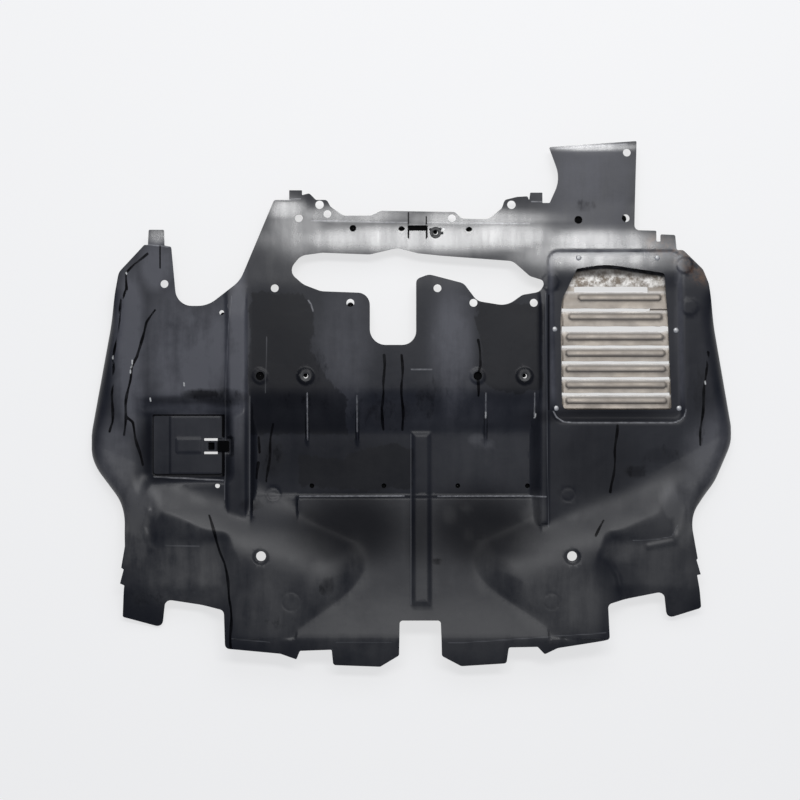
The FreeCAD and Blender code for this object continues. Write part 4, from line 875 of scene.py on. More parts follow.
def pool_field(x, y):
    """Depth inside the dried pools: 0.5 on an outline, and 0 or 1 far from it."""
    depth = np.zeros_like(x)
    for pool in POOLS:
        corners = from_photo(pool)
        away = path_distance(corners + corners[:1], x, y) / (5 * MARK_REACH)
        depth = np.maximum(depth, 0.5 + np.where(inside([np.array(corners)], x, y), away, -away))
    return np.clip(depth, 0.0, 1.0)


def near_marks(x, y):
    """True where the tray's face needs close vertices for its marks."""
    near = np.zeros(x.shape, bool)
    for path in sum(STROKES.values(), WET_RUNS):
        near |= path_distance(from_photo(path), x, y) < MARK_REACH
    near |= path_distance(WING_LIP, x, y) < WING_LIP_REACH + 2
    for cx, cy in CLIP_HOLES + SLEEVE_HOLES:
        near |= np.hypot(x - cx, y - cy) < COLLAR_RADIUS + 7
    return near


def build_tray(form, material):
    """The moulded tray: its road face over the plan, with a rolled skirt on each side."""
    right_edge, right_inward = edge_stretch(RIGHT_SIDE)
    left_edge, left_inward = edge_stretch(LEFT_SIDE)
    roll = form.roll_radius / MM
    right_start = right_edge + roll * right_inward
    left_start = left_edge + roll * left_inward
    rear = rounded_path([(*left_edge[-1], 0)] + REAR_EDGE + [(*right_edge[0], 0)], EDGE_STEP, False)
    front = rounded_path([(*right_edge[-1], 0)] + FRONT_EDGE + [(*left_edge[0], 0)], EDGE_STEP, False)
    steps = roll * (1 - np.sin(ROLL_TURN[1:-1]))[:, None]
    outline = np.vstack([rear, right_edge[0] + steps[::-1] * right_inward[0], right_start,
                         right_edge[-1] + steps * right_inward[-1], front,
                         left_edge[0] + steps[::-1] * left_inward[0], left_start,
                         left_edge[-1] + steps * left_inward[-1]])
    loops = [outline] + hole_loops()
    points = plan_points(loops, tray_height, form.coarse / MM, 3, 0.09, near_marks)
    flat, triangles = plan_mesh(loops, points)
    x, y = flat.T
    z = tray_height(x, y)
    faces = triangles.tolist()
    columns = [(x, y, z)]
    count = len(x)
    first = len(rear) + len(steps)
    second = first + len(right_start) + len(front) + 2 * len(steps)
    for edge, inward, start in ((right_edge, right_inward, first), (left_edge, left_inward, second)):
        top_row = start + np.arange(len(edge))
        sx, sy, sz = skirt_rows(edge, inward, roll)
        rows = np.vstack([top_row, count + np.arange(sx.size).reshape(sx.shape)])
        faces += grid_faces(rows)
        columns.append((sx.ravel(), sy.ravel(), sz.ravel()))
        count += sx.size
    x, y, z = (np.concatenate(part) for part in zip(*columns))
    vertices = np.clip(to_frame(x, y, z), CAD_BOX[0], CAD_BOX[1])
    tray = add_piece("tray_skin", vertices, faces, material, "undertray", ["tray"])
    x, y, _ = plan_of(tray)
    mark(tray, "wet", wet_field(x, y))
    for name, strokes in STROKES.items():
        mark(tray, name, stroke_field(strokes, x, y))
    for name, fields in SOFT_FIELDS.items():
        mark(tray, name, field_amount(fields, x, y))
    mark(tray, "pool", pool_field(x, y))
    frame_wall = np.exp(-((outside_distance(VENT_RECESS, x, y, VENT_CORNER) + 4.0) / 5.0) ** 2)
    frame_dust = 0.6 * frame_wall * ease(-15.0, 25.0, y)
    # Dust, and painted light that lightens the lit side margins and the walls of the wings
    mark(tray, "dust_and_light", np.maximum(field_amount(DUST_AND_LIGHT_FIELDS, x, y), frame_dust))
    mark(tray, "rust", 1 - ease(4.0, 22.0, path_distance(from_photo(RUST_STAIN), x, y)))
    thicken(tray, form.wall)


def add_sheet(name, loops, height, spacing, material, body, nodes, wall):
    """A thin sheet over a plan with its wall, and the places of its vertices. The spacing says how far apart
    vertices lie, how many times closer in bends, and how much bend that takes."""
    flat, triangles = plan_mesh(loops, plan_points(loops, height, *spacing))
    x, y = flat.T
    sheet = add_piece(name, to_frame(x, y, height(x, y)), triangles.tolist(), material, body, nodes)
    thicken(sheet, wall)
    x, y, _ = plan_of(sheet)
    return sheet, x, y


def slats():
    """Rear edge, front edge and ends of the bead of each slat."""
    fronts = [after[0] for after in SLOT_Y[1:]] + [LAST_SLAT_FRONT_Y]
    for (_, rear), front, ends in zip(SLOT_Y, fronts, SLAT_BEAD_X):
        yield rear, front, ends


def off_bead(rear, ends, x, y):
    """Distance from the middle line of a slat's bead, in half widths of the bead."""
    nearest = np.clip(x, ends[0] + SLAT_BEAD_HALF, ends[1] - SLAT_BEAD_HALF)
    return np.hypot(x - nearest, y - (rear - SLAT_BEAD_SETBACK)) / SLAT_BEAD_HALF


def shield_height(x, y):
    """Height of the louvred panel: a flange, a dish that is deep at the rear, slats that rise to their front
    edges, and a long round-ended bead on each."""
    left, right, rear, flat, front = SHIELD_DISH
    share = np.clip((y - flat) / (rear - flat), 0.0, 1.0)
    dish = SHIELD_TOP_Z - SHIELD_DISH_DEPTH[1] - share * (SHIELD_DISH_DEPTH[0] - SHIELD_DISH_DEPTH[1])
    border = np.minimum.reduce([x - left, right - x, rear - y, y - front])
    z = SHIELD_TOP_Z + (dish - SHIELD_TOP_Z) * ease(-1.5, 3.0, border)
    on_sheet = ease(0.0, 3.0, np.minimum(x - SLAT_X[0], SLAT_X[1] - x))
    for slat_rear, slat_front, ends in slats():
        on_slat = (y <= slat_rear + 1.6) & (y >= slat_front - 1.6)
        lift = SLAT_RISE * (slat_rear - y) / (slat_rear - slat_front)
        bead = SLAT_BEAD_RISE * np.sqrt(np.clip(1 - off_bead(slat_rear, ends, x, y) ** 2, 0.0, 1.0))
        z = z + np.where(on_slat, on_sheet * lift + bead, 0.0)
    dents = 0.35 * np.sin(x / 17 + 2 * np.sin(y / 29)) * np.sin(y / 11 + x / 60)
    return np.minimum(z + dents * ease(0.0, 12.0, border), np.where(border < 0, SHIELD_TOP_Z, 100.0))


def slot_loop(rear, front, index):
    """Edge of one louvre slot. Its right end is ragged where the metal has been bent."""
    left, right = SLOT_START_X[index], SLOT_END_X[index]
    t = np.linspace(0.0, 1.0, 60)
    x = left + (right - left) * t
    wear = ease(0.8, 1.0, t) * SLOT_TEAR[index] * 0.12
    upper = rear + wear * np.sin(x / 3.3 + index) + 0.25 * np.sin(x / 9 + index)
    lower = front + wear * np.sin(x / 2.7 + 2 * index) + 0.25 * np.sin(x / 7 + 2 * index)
    return np.vstack([np.column_stack([x, upper]), np.column_stack([x, lower])[::-1]])


def slat_grime_and_shade(x, y):
    """Dirt and painted shade in front of each slat's bead, and in a ring round the bead, darker on its front
    side.
    """
    grime = np.zeros_like(x)
    for slat_rear, slat_front, ends in slats():
        on_slat = (y <= slat_rear) & (y >= slat_front)
        below = ease(-2.0, 3.0, slat_rear - SLAT_BEAD_SETBACK - y)
        off = off_bead(slat_rear, ends, x, y)
        ring = np.exp(-((off - 1.0) / (0.25 + 0.2 * below)) ** 2) * (0.3 + 0.4 * below)
        grime = np.where(on_slat, np.maximum(grime, ring), grime)
    return grime


def slat_edge_highlight(y):
    """Paler metal along the rear edge of each slat, a painted highlight."""
    rears = np.array([front for _, front in SLOT_Y])
    behind = rears[:, None] - y[None, :]
    return np.max(np.where(behind > -2.0, 1 - ease(1.5, 4.5, behind), 0.0), axis=0)


def build_heat_shield(form, material):
    """The louvred aluminium panel as one sheet with its slots cut out."""
    loops = [rounded_path(SHIELD_EDGE, EDGE_STEP, True)]
    loops += [slot_loop(rear, front, i) for i, (rear, front) in enumerate(SLOT_Y)]
    shield, x, y = add_sheet("heat_shield_skin", loops, shield_height, (3.6, 2, 0.05), material,
                             "undertray", ["heat_shield"], form.shield_wall)
    mark(shield, "oxide", ease(190.0, 194.0, y))
    mark(shield, "edge_highlight", slat_edge_highlight(y))
    # Painted shadow of the tray's edge over the rear of the panel, joined with the grime and painted shade
    # round the beads
    rear_shade = ease(208.0, 216.0, y + 0.05 * np.abs(x - 330))
    mark(shield, "shade", np.maximum(rear_shade, slat_grime_and_shade(x, y)))


def revolved(profile, places, count):
    """Profiles of radius and height turned about upright axes at places of x, y and z."""
    angle = np.linspace(0.0, 2 * math.pi, count, endpoint=False)
    radius, height = np.array(profile).T
    px, py, pz = np.array(places, float).T
    shape = (len(px), len(radius), count)
    x = px[:, None, None] + radius[None, :, None] * np.cos(angle)
    y = py[:, None, None] + radius[None, :, None] * np.sin(angle)
    z = np.broadcast_to(pz[:, None, None] + height[None, :, None], shape)
    rows = np.arange(np.prod(shape)).reshape(shape)
    rows = np.concatenate([rows, rows[:, :, :1]], axis=2)
    faces = []
    for ring in rows:
        faces += grid_faces(ring[::-1])
    return x.ravel(), y.ravel(), z.ravel(), faces


def joined(parts):
    """Columns of places and faces of several turned sets as one."""
    faces = []
    count = 0
    for x, _, _, made in parts:
        faces += [[i + count for i in face] for face in made]
        count += len(x)
    x, y, z = (np.concatenate(column) for column in zip(*(part[:3] for part in parts)))
    return to_frame(x, y, z), faces


def build_rivets(material):
    """Domed heads of the blind rivets, each with the dimple of its drawn pin, and their tails."""
    seats = tray_height(*np.array(RIVETS, float).T) + RIVET_GAP
    vertices, faces = joined([revolved(RIVET_PROFILE, np.column_stack([RIVETS, seats]), 24)])
    add_piece("rivet_heads", vertices, faces, material, "undertray", ["heat_shield_rivets"])


def build_clip_sleeves(material):
    """Flanged sleeves of push clips, and the bits that a broken clip left round the one on the rear slope,
    which leans with the slope."""
    rear_z = DECK_Z - REAR_FALL * (RAIL_SLEEVE_HOLE[1] - REAR_SLOPE_Y)
    places = [(x, y, DECK_Z + COLLAR_RISE) for x, y in SLEEVE_HOLES] + [(*RAIL_SLEEVE_HOLE, rear_z)]
    x, y, z, faces = revolved(SLEEVE_PROFILE, places, 28)
    lean = np.where(y > REAR_SLOPE_Y, REAR_FALL * (RAIL_SLEEVE_HOLE[1] - y), 0.0)
    levels = tray_height(*np.array(CLIP_BITS, float).T)
    bits = revolved(CLIP_BIT_PROFILE, np.column_stack([CLIP_BITS, levels]), 9)
    vertices, faces = joined([(x, y, z + lean, faces), bits])
    add_piece("clip_sleeve_rings", vertices, faces, material, "undertray", ["clip_sleeves"])


def build_hole_shadow_discs(material):
    """Black discs of painted shadow a little below the face in holes that show dark, each a low disc, with
    the largest below the snap slot. Some stand off centre and leave a crescent open."""
    discs = []
    for cx, cy, radius in DARK_HOLES:
        level = tray_height(np.array([cx]), np.array([cy]))[0] - HOLE_SHADOW_DEPTH
        profile = [(radius * share, height) for share, height in HOLE_SHADOW_PROFILE]
        discs.append(revolved(profile, [(cx, cy, level)], 24))
    vertices, faces = joined(discs)
    add_piece("hole_shadow_discs", vertices, faces, material, "undertray", [])


def door_height(x, y):
    """Height of the door: a flat leaf with a raised panel, a sunk grip and rounded edges."""
    z = DOOR_TOP_Z + PANEL_RISE * (1 - ease(-0.6, 0.6, outside_distance(DOOR_PANEL, x, y, 1.0)))
    z = z - GRIP_DEPTH * (1 - ease(-0.8, 0.8, outside_distance(GRIP_POCKET, x, y, 0.5)))
    border = -np.max(side_distances(DOOR_LEAF, x, y), axis=0)
    return z - 0.5 * (1 - ease(0.0, 2.0, np.maximum(border, 0.0))) * (x < -316)


def build_door(form, material):
    """The service door with its snap tongue, on the hinge side cut back by the hinge's clearance."""
    loops = [rounded_path(DOOR_EDGE, 2.5, True)]
    door, x, y = add_sheet("door_leaf", loops, door_height, (4.0, 4, 0.03), material,
                           "door", ["access_door"], form.door_wall)
    # Painted shadow over the end of the tongue and in the grip pocket
    dark = np.minimum(outside_distance(TONGUE_END, x, y, 1.0), outside_distance(GRIP_POCKET, x, y, 0.5))
    mark(door, "shade", 1 - ease(-1.0, 1.0, dark))


def strip_height(x, y):
    """Height of the hinge strip: a flat leaf that ends in the round bead of the hinge."""
    off = np.abs(x - HINGE_X)
    return DOOR_TOP_Z + np.sqrt(np.clip(HINGE_BEAD_RADIUS ** 2 - off ** 2, 0.0, 1.0))


def build_hinge_strip(form, material):
    """The fixed leaf beside the door."""
    loops = [rounded_path(STRIP_EDGE, 2.0, True)]
    add_sheet("hinge_strip_leaf", loops, strip_height, (3.0, 6, 0.02), material,
              "undertray", ["door_hinge_strip"], form.door_wall)


def connect(tree, made, name, value):
    """Links an input socket, found by name or number, to another node's output, or sets it."""
    socket = made.inputs[name]
    if isinstance(value, bpy.types.NodeSocket):
        tree.links.new(value, socket)
    else:
        socket.default_value = value


def feed(tree, made, **inputs):
    """Links or sets input sockets by name, with an underscore for each space."""
    for name, value in inputs.items():
        connect(tree, made, name.replace("_", " "), value)


def node(tree, kind, **inputs):
    """A shader node with its input sockets set or linked by name."""
    made = tree.nodes.new(kind)
    feed(tree, made, **inputs)
    return made


def empty_material(name):
    """A material with a node tree that holds only its output."""
    material = bpy.data.materials.new(name)
    material.use_nodes = True
    tree = material.node_tree
    tree.nodes.clear()
    return material, tree, tree.nodes.new("ShaderNodeOutputMaterial")


def new_material(name):
    """A material with a principled shader."""
    material, tree, output = empty_material(name)
    shader = tree.nodes.new("ShaderNodeBsdfPrincipled")
    tree.links.new(shader.outputs["BSDF"], output.inputs["Surface"])
    return material, tree, shader


def place(tree, stretch=(1.0, 1.0, 1.0)):
    """Object coordinates, stretched along each axis."""
    coordinates = tree.nodes.new("ShaderNodeTexCoord")
    mapping = node(tree, "ShaderNodeMapping", Vector=coordinates.outputs["Object"], Scale=stretch)
    return mapping.outputs["Vector"]


def noise(tree, scale, detail=4.0, roughness=0.55, stretch=(1.0, 1.0, 1.0)):
    """Cloudy noise from 0 to 1."""
    made = node(tree, "ShaderNodeTexNoise", Vector=place(tree, stretch), Scale=scale, Detail=detail,
                Roughness=roughness)
    return made.outputs["Fac"]


def ramp(tree, value, low, high, bottom=0.0, top=1.0):
    """Value from low to high spread over bottom to top, and held beyond them."""
    made = node(tree, "ShaderNodeMapRange", Value=value, From_Min=low, From_Max=high,
                To_Min=bottom, To_Max=top)
    return made.outputs["Result"]


def math_node(tree, operation, a, b):
    """An operation on two values, held between 0 and 1."""
    made = tree.nodes.new("ShaderNodeMath")
    made.operation = operation
    made.use_clamp = True
    connect(tree, made, 0, a)
    connect(tree, made, 1, b)
    return made.outputs[0]


def times(tree, a, b):
    """Product of two values, held between 0 and 1."""
    return math_node(tree, "MULTIPLY", a, b)


def plus(tree, a, b):
    """Sum of two values, held between 0 and 1."""
    return math_node(tree, "ADD", a, b)


def larger(tree, a, b):
    """The larger of two values, held between 0 and 1."""
    return math_node(tree, "MAXIMUM", a, b)


def blend(tree, kind, share, first, second):
    """Result of a mix node that goes from the first to the second as share goes from 0 to 1."""
    made = tree.nodes.new("ShaderNodeMix")
    made.data_type = kind
    first_socket, second_socket, result = MIX_SOCKETS[kind]
    connect(tree, made, 0, share)
    connect(tree, made, first_socket, first)
    connect(tree, made, second_socket, second)
    return made.outputs[result]


def blend_colour(tree, share, first, second):
    """Colour that goes from the first to the second as share goes from 0 to 1."""
    return blend(tree, "RGBA", share, first, second)


def blend_value(tree, share, first, second):
    """Number that goes from the first to the second as share goes from 0 to 1."""
    return blend(tree, "FLOAT", share, first, second)


def attribute(tree, name):
    """A number that the mesh keeps for each vertex."""
    made = tree.nodes.new("ShaderNodeAttribute")
    made.attribute_name = name
    return made.outputs["Fac"]


def stroke(tree, name, half_width):
    """1 within half the width of a marked stroke, in millimetres, and 0 outside, with a soft edge."""
    edge = 1 - half_width / MARK_REACH
    return ramp(tree, attribute(tree, name), edge - STROKE_SOFTNESS, edge + STROKE_SOFTNESS)


def patchy_stroke(tree, name, half_width, scale, band, amounts):
    """A stroke that noise thins: its amount goes from the first to the second as noise crosses a band."""
    return times(tree, stroke(tree, name, half_width), ramp(tree, noise(tree, scale), *band, *amounts))


def colour(value):
    """A colour property as four numbers."""
    return (*value, 1.0)


def plastic_base(tree, finish, dust_and_light, gloss):
    """Moulded black plastic under dust, which also carries painted light: a colour, a roughness and a bump
    for its grain and dents.
    """
    broad = noise(tree, 7.0, 6.0, 0.62)
    wiped = noise(tree, 34.0, 5.0, 0.62, (1.0, 0.14, 1.0))
    blotch = noise(tree, 46.0, 5.0, 0.65)
    specks = ramp(tree, noise(tree, 420.0, 2.0, 0.5), 0.7, 0.8)
    patchy = plus(tree, times(tree, broad, 0.9), times(tree, wiped, 0.7))
    patchy = plus(tree, ramp(tree, patchy, 0.5, 1.05, 0.0, 0.8), times(tree, blotch, 0.4))
    dust_and_light = times(tree, plus(tree, dust_and_light, 0.06), ramp(tree, patchy, 0.15, 0.85, 0.2, 1.6))
    dust_and_light = plus(tree, dust_and_light, times(tree, specks, 0.12))
    along = node(tree, "ShaderNodeSeparateXYZ", Vector=place(tree)).outputs["Y"]
    rearward = ramp(tree, along, -0.2, 0.0)
    dry = blend_colour(tree, rearward, colour(finish.dust_colour), colour(finish.rear_dust))
    base = blend_colour(tree, dust_and_light, colour(finish.plastic), dry)
    dull = ramp(tree, patchy, 0.15, 0.85, 0.33, 0.47)
    rough = blend_value(tree, gloss, dull, ramp(tree, wiped, 0.3, 0.7, 0.17, 0.28))
    grain = node(tree, "ShaderNodeBump", Height=noise(tree, 700.0, 3.0, 0.6), Strength=0.06, Distance=0.0004)
    dents = node(tree, "ShaderNodeBump", Height=noise(tree, 18.0, 3.0, 0.5), Strength=0.3, Distance=0.0016,
                 Normal=grain.outputs["Normal"])
    return base, rough, dents.outputs["Normal"]


def tray_plastic(finish):
    """Satin black tray with dust, wet runs, smudges, chips, worn edges and a rust stain, and with painted
    light: highlights on lit edges and gussets, lit margins in the dust and shadow in narrow gaps.
    """
    material, tree, shader = new_material("tray_plastic")
    gloss = attribute(tree, "gloss")
    grimy = attribute(tree, "dull")
    base, rough, normal = plastic_base(tree, finish, attribute(tree, "dust_and_light"), gloss)
    smears = noise(tree, 62.0, 6.0, 0.68, (1.0, 0.45, 1.0))
    above_middle = math_node(tree, "SUBTRACT", smears, 0.5)
    stain = plus(tree, times(tree, attribute(tree, "stain"), 0.62), above_middle)
    stain = ramp(tree, stain, 0.3, 0.62, 0.0, 0.9)
    pool = plus(tree, attribute(tree, "pool"), times(tree, smears, 0.95))
    pool = ramp(tree, pool, 0.9, 0.995, 0.0, 0.62)
    rusty = times(tree, ramp(tree, noise(tree, 60.0, 5.0, 0.7), 0.4, 0.65), attribute(tree, "rust"))
    wet = patchy_stroke(tree, "wet", 2.1, 45.0, (0.32, 0.58), (0.78, 1.0))
    # Painted shadow in the gaps joins the wet runs and takes their black
    wet = larger(tree, wet, stroke(tree, "gap_shadow", 1.3))
    lit_and_worn = patchy_stroke(tree, "lit_and_worn", 1.2, 150.0, (0.3, 0.7), (0.25, 0.8))
    lit_and_worn = larger(tree, lit_and_worn, times(tree, stroke(tree, "faint", 1.0), 0.19))
    chips_and_glints = patchy_stroke(tree, "chip_and_glint", 1.3, 90.0, (0.3, 0.6), (0.4, 1.0))
    layers = (
        (larger(tree, stain, pool), SMUDGE_BLACK), (times(tree, grimy, 0.6), GRIME_BLACK),
        (rusty, colour(finish.rust)), (lit_and_worn, colour(finish.lit_and_worn)), (wet, WET_AND_SHADOW_BLACK), (chips_and_glints, CHIP_AND_GLINT_GREY),
    )
    for share, layer in layers:
        base = blend_colour(tree, share, base, layer)
    dark = larger(tree, larger(tree, wet, stain), times(tree, pool, 0.5))
    dark = larger(tree, dark, times(tree, grimy, 0.95))
    shine = blend_value(tree, dark, blend_value(tree, gloss, 0.3, 0.8), 0.05)
    feed(tree, shader, Base_Color=base, Roughness=rough, Specular_IOR_Level=shine, Normal=normal)
    return material


def door_plastic(finish):
    """The same satin black on the door and its strip, with painted shadow over the tongue's end and in the
    grip pocket.
    """
    material, tree, shader = new_material("door_plastic")
    base, rough, normal = plastic_base(tree, finish, 0.06, 0.0)
    shade = attribute(tree, "shade")
    base = blend_colour(tree, shade, base, DEEP_BLACK)
    shine = blend_value(tree, shade, 0.3, 0.03)
    feed(tree, shader, Base_Color=base, Roughness=rough, Specular_IOR_Level=shine, Normal=normal)
    return material


def shield_metal(finish):
    """Weathered aluminium: clouded, streaked across the slats and oxidised at its rear edge, with a painted
    highlight along each slat's rear edge and painted shade at its rear and round the beads.
    """
    material, tree, shader = new_material("shield_metal")
    cloud = ramp(tree, noise(tree, 28.0, 6.0, 0.65), 0.35, 0.7)
    streak = ramp(tree, noise(tree, 130.0, 4.0, 0.6, (0.12, 1.0, 1.0)), 0.35, 0.75)
    crust = ramp(tree, noise(tree, 70.0, 6.0, 0.75), 0.42, 0.6)
    layers = (
        (times(tree, cloud, 0.6), METAL_CLOUD), (times(tree, streak, 0.3), METAL_STREAK),
        (attribute(tree, "oxide"), blend_colour(tree, crust, CRUST_BROWN, CRUST_PALE)),
        (times(tree, attribute(tree, "edge_highlight"), 0.6), HIGHLIGHT_METAL),
        (times(tree, attribute(tree, "shade"), 0.85), METAL_SHADE_AND_GRIME),
    )
    base = colour(finish.metal)
    for share, layer in layers:
        base = blend_colour(tree, share, base, layer)
    bump = node(tree, "ShaderNodeBump", Height=noise(tree, 340.0, 4.0, 0.6), Strength=0.2, Distance=0.0006)
    feed(tree, shader, Base_Color=base, Roughness=ramp(tree, cloud, 0.0, 1.0, 0.5, 0.68), Metallic=0.45,
         Normal=bump.outputs["Normal"])
    return material


def clouded_material(name, scale, detail, colours, roughness, **inputs):
    """A material whose colour and roughness follow one cloudy noise."""
    material, tree, shader = new_material(name)
    cloud = noise(tree, scale, detail, 0.6)
    base = blend_colour(tree, cloud, *colours)
    feed(tree, shader, Base_Color=base, Roughness=ramp(tree, cloud, 0.2, 0.8, *roughness), **inputs)
    return material


def rivet_metal():
    """Dull grey rivet heads."""
    return clouded_material("rivet_metal", 300.0, 3.0, RIVET_GREYS, (0.35, 0.6), Metallic=0.6)


def clip_plastic():
    """Worn black clip sleeves."""
    return clouded_material("clip_plastic", 160.0, 4.0, CLIP_BLACKS, (0.4, 0.65))


def hole_shadow_black():
    """Dead black that stands in for the shadow behind the holes."""
    return clouded_material("hole_shadow_black", 220.0, 3.0, HOLE_SHADOW_BLACKS, (0.7, 0.9), Specular_IOR_Level=0.05)


def floor_white(finish):
    """Pale floor. To the camera and in reflections it is mostly a plain white of its own, and the rest of
    it takes light and shadow."""
    material, tree, output = empty_material("floor_white")
    diffuse = node(tree, "ShaderNodeBsdfDiffuse", Color=colour(finish.floor))
    glow = node(tree, "ShaderNodeEmission", Color=(1.0, 1.0, 1.0, 1.0), Strength=FLOOR_GLOW)
    path = tree.nodes.new("ShaderNodeLightPath")
    seen = plus(tree, path.outputs["Is Camera Ray"], path.outputs["Is Glossy Ray"])
    seen = plus(tree, seen, path.outputs["Is Transmission Ray"])
    mixed = tree.nodes.new("ShaderNodeMixShader")
    share = times(tree, seen, FLOOR_GLOW_SHARE)
    for number, value in enumerate((share, diffuse.outputs[0], glow.outputs[0])):
        connect(tree, mixed, number, value)
    tree.links.new(mixed.outputs[0], output.inputs["Surface"])
    return material


class UndertrayForm(bpy.types.PropertyGroup):
    """Sizes of the skins"""
    wall: bpy.props.FloatProperty(
        name="Tray wall", description="Thickness of the moulded sheet",
        default=0.003, unit="LENGTH")
    roll_radius: bpy.props.FloatProperty(
        name="Skirt roll", description="Radius of the rolled side skirts",
        default=0.025, unit="LENGTH")
    coarse: bpy.props.FloatProperty(
        name="Vertex spacing", description="Spacing of vertices on the flat of the tray",
        default=0.0069, unit="LENGTH")
    shield_wall: bpy.props.FloatProperty(
        name="Shield sheet", description="Thickness of the aluminium",
        default=0.0012, unit="LENGTH")
    door_wall: bpy.props.FloatProperty(
        name="Door wall", description="Thickness of the door and its strip",
        default=0.0025, unit="LENGTH")


class UndertrayFinish(bpy.types.PropertyGroup):
    """Colours and wear"""
    plastic: bpy.props.FloatVectorProperty(
        name="Plastic", description="Black of the moulding",
        default=(0.0042, 0.0052, 0.0092), subtype="COLOR")
    dust_colour: bpy.props.FloatVectorProperty(
        name="Dust", description="Colour of dry road dust",
        default=(0.075, 0.074, 0.073), subtype="COLOR")
    rear_dust: bpy.props.FloatVectorProperty(
        name="Rear dust", description="Colour of the film on the rear half",
        default=(0.077, 0.078, 0.089), subtype="COLOR")
    lit_and_worn: bpy.props.FloatVectorProperty(
        name="Lit and worn edge", description="Grey of painted highlights and rubbed edges",
        default=(0.3, 0.3, 0.31), subtype="COLOR")
    rust: bpy.props.FloatVectorProperty(
        name="Rust", description="Colour of the stain at the rear corner",
        default=(0.1, 0.05, 0.025), subtype="COLOR")
    metal: bpy.props.FloatVectorProperty(
        name="Aluminium", description="Colour of the heat shield",
        default=(0.36, 0.315, 0.262), subtype="COLOR")
    floor: bpy.props.FloatVectorProperty(
        name="Floor", description="Colour of the floor",
        default=(0.86, 0.86, 0.87), subtype="COLOR")


class BuildTray(bpy.types.Operator):
    """Builds the moulded tray"""
    bl_idname = "undertray.tray"
    bl_label = "Tray"

    def execute(self, context):
        build_tray(context.scene.undertray_form, tray_plastic(context.scene.undertray_finish))
        return {"FINISHED"}


class BuildHeatShield(bpy.types.Operator):
    """Builds the louvred heat shield"""
    bl_idname = "undertray.heat_shield"
    bl_label = "Heat shield"

    def execute(self, context):
        build_heat_shield(context.scene.undertray_form, shield_metal(context.scene.undertray_finish))
        return {"FINISHED"}


class BuildRivets(bpy.types.Operator):
    """Builds the rivets of the heat shield"""
    bl_idname = "undertray.rivets"
    bl_label = "Rivets"

    def execute(self, context):
        build_rivets(rivet_metal())
        return {"FINISHED"}


class BuildDoor(bpy.types.Operator):
    """Builds the service door and its hinge strip"""
    bl_idname = "undertray.door"
    bl_label = "Service door"

    def execute(self, context):
        material = door_plastic(context.scene.undertray_finish)
        build_door(context.scene.undertray_form, material)
        build_hinge_strip(context.scene.undertray_form, material)
        return {"FINISHED"}


class BuildClipSleeves(bpy.types.Operator):
    """Builds the clip sleeves left in their holes, and black discs of painted shadow in holes that show dark
    """
    bl_idname = "undertray.clip_sleeves"
    bl_label = "Clip sleeves"

    def execute(self, context):
        build_clip_sleeves(clip_plastic())
        build_hole_shadow_discs(hole_shadow_black())
        return {"FINISHED"}


def add_lamp(name, location, target, width, depth, power):
    """A soft rectangular lamp that faces a point."""
    data = bpy.data.lights.new(name, "AREA")
    data.shape = "RECTANGLE"
    data.size = width
    data.size_y = depth
    data.energy = power
    lamp = bpy.data.objects.new(name, data)
    lamp.location = location
    lamp.rotation_euler = (Vector(target) - Vector(location)).to_track_quat("-Z", "Y").to_euler()
    bpy.context.scene.collection.objects.link(lamp)


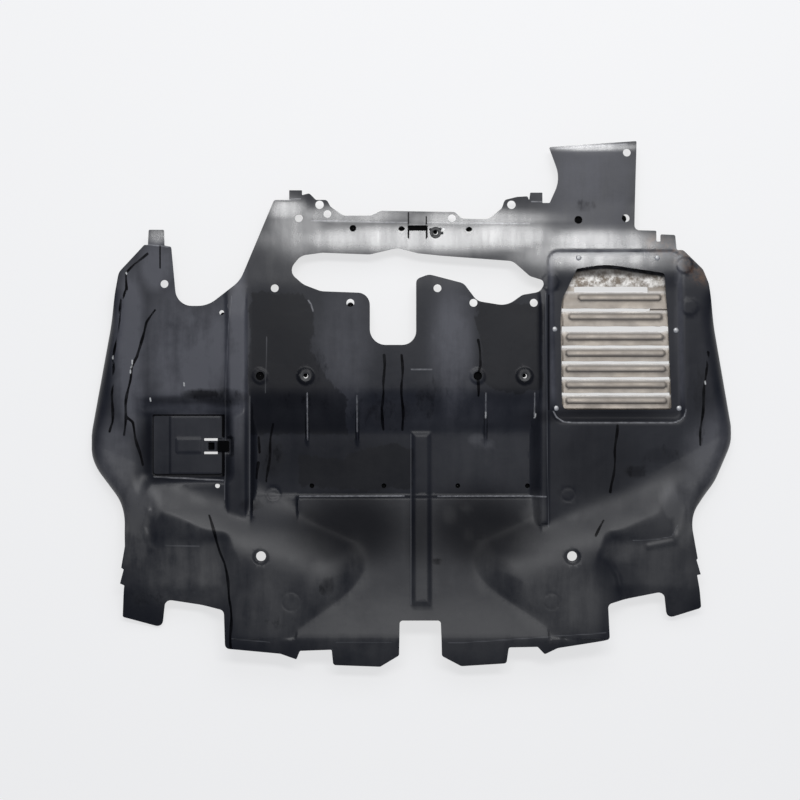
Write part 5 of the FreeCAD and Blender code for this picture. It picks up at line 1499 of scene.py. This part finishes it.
class BuildStage(bpy.types.Operator):
    """Builds the floor, the light and the camera"""
    bl_idname = "undertray.stage"
    bl_label = "Stage"

    def execute(self, context):
        scene = context.scene
        mesh = bpy.data.meshes.new("floor")
        corners = [(FLOOR_HALF * x, FLOOR_HALF * y, 0.0) for x, y in ((-1, -1), (1, -1), (1, 1), (-1, 1))]
        mesh.from_pydata(corners, [], [(0, 1, 2, 3)])
        mesh.materials.append(floor_white(scene.undertray_finish))
        floor = bpy.data.objects.new("floor", mesh)
        scene.collection.objects.link(floor)
        world = bpy.data.worlds.new("room")
        world.use_nodes = True
        world.node_tree.nodes["Background"].inputs["Color"].default_value = WORLD_COLOUR
        scene.world = world
        for lamp in LAMPS:
            add_lamp(*lamp)
        data = bpy.data.cameras.new("camera")
        data.sensor_width = SENSOR_WIDTH
        data.lens = SENSOR_WIDTH * (CAMERA_DISTANCE - DECK_Z * MM) / (PHOTO_WIDTH * PIXEL * MM)
        camera = bpy.data.objects.new("camera", data)
        (x, y), = from_photo([PHOTO_MIDDLE])
        camera.location = (x * MM + PLAN_SHIFT[0], y * MM + PLAN_SHIFT[1], CAMERA_DISTANCE)
        scene.collection.objects.link(camera)
        scene.camera = camera
        scene.view_settings.view_transform = "Standard"
        return {"FINISHED"}


class UndertrayPanel(bpy.types.Panel):
    """Sizes, finishes and builders of the undertray"""
    bl_idname = "VIEW3D_PT_undertray"
    bl_label = "Engine Undertray"
    bl_space_type = "VIEW_3D"
    bl_region_type = "UI"
    bl_category = "Undertray"

    def draw(self, context):
        for group in (context.scene.undertray_form, context.scene.undertray_finish):
            for name in group.__annotations__:
                self.layout.prop(group, name)
        for operator in OPERATORS:
            self.layout.operator(operator.bl_idname)


OPERATORS = (BuildTray, BuildHeatShield, BuildRivets, BuildDoor, BuildClipSleeves, BuildStage)
CLASSES = (UndertrayForm, UndertrayFinish) + OPERATORS + (UndertrayPanel,)


def register():
    """Makes the classes known and puts the sizes and finishes on the scene."""
    for cls in CLASSES:
        bpy.utils.register_class(cls)
    bpy.types.Scene.undertray_form = bpy.props.PointerProperty(type=UndertrayForm)
    bpy.types.Scene.undertray_finish = bpy.props.PointerProperty(type=UndertrayFinish)


def unregister():
    """Takes the classes away again."""
    del bpy.types.Scene.undertray_finish
    del bpy.types.Scene.undertray_form
    for cls in reversed(CLASSES):
        bpy.utils.unregister_class(cls)


def main():
    """Builds every piece and the stage."""
    register()
    bpy.ops.undertray.tray()
    bpy.ops.undertray.heat_shield()
    bpy.ops.undertray.rivets()
    bpy.ops.undertray.door()
    bpy.ops.undertray.clip_sleeves()
    bpy.ops.undertray.stage()


if __name__ == "__main__":
    main()
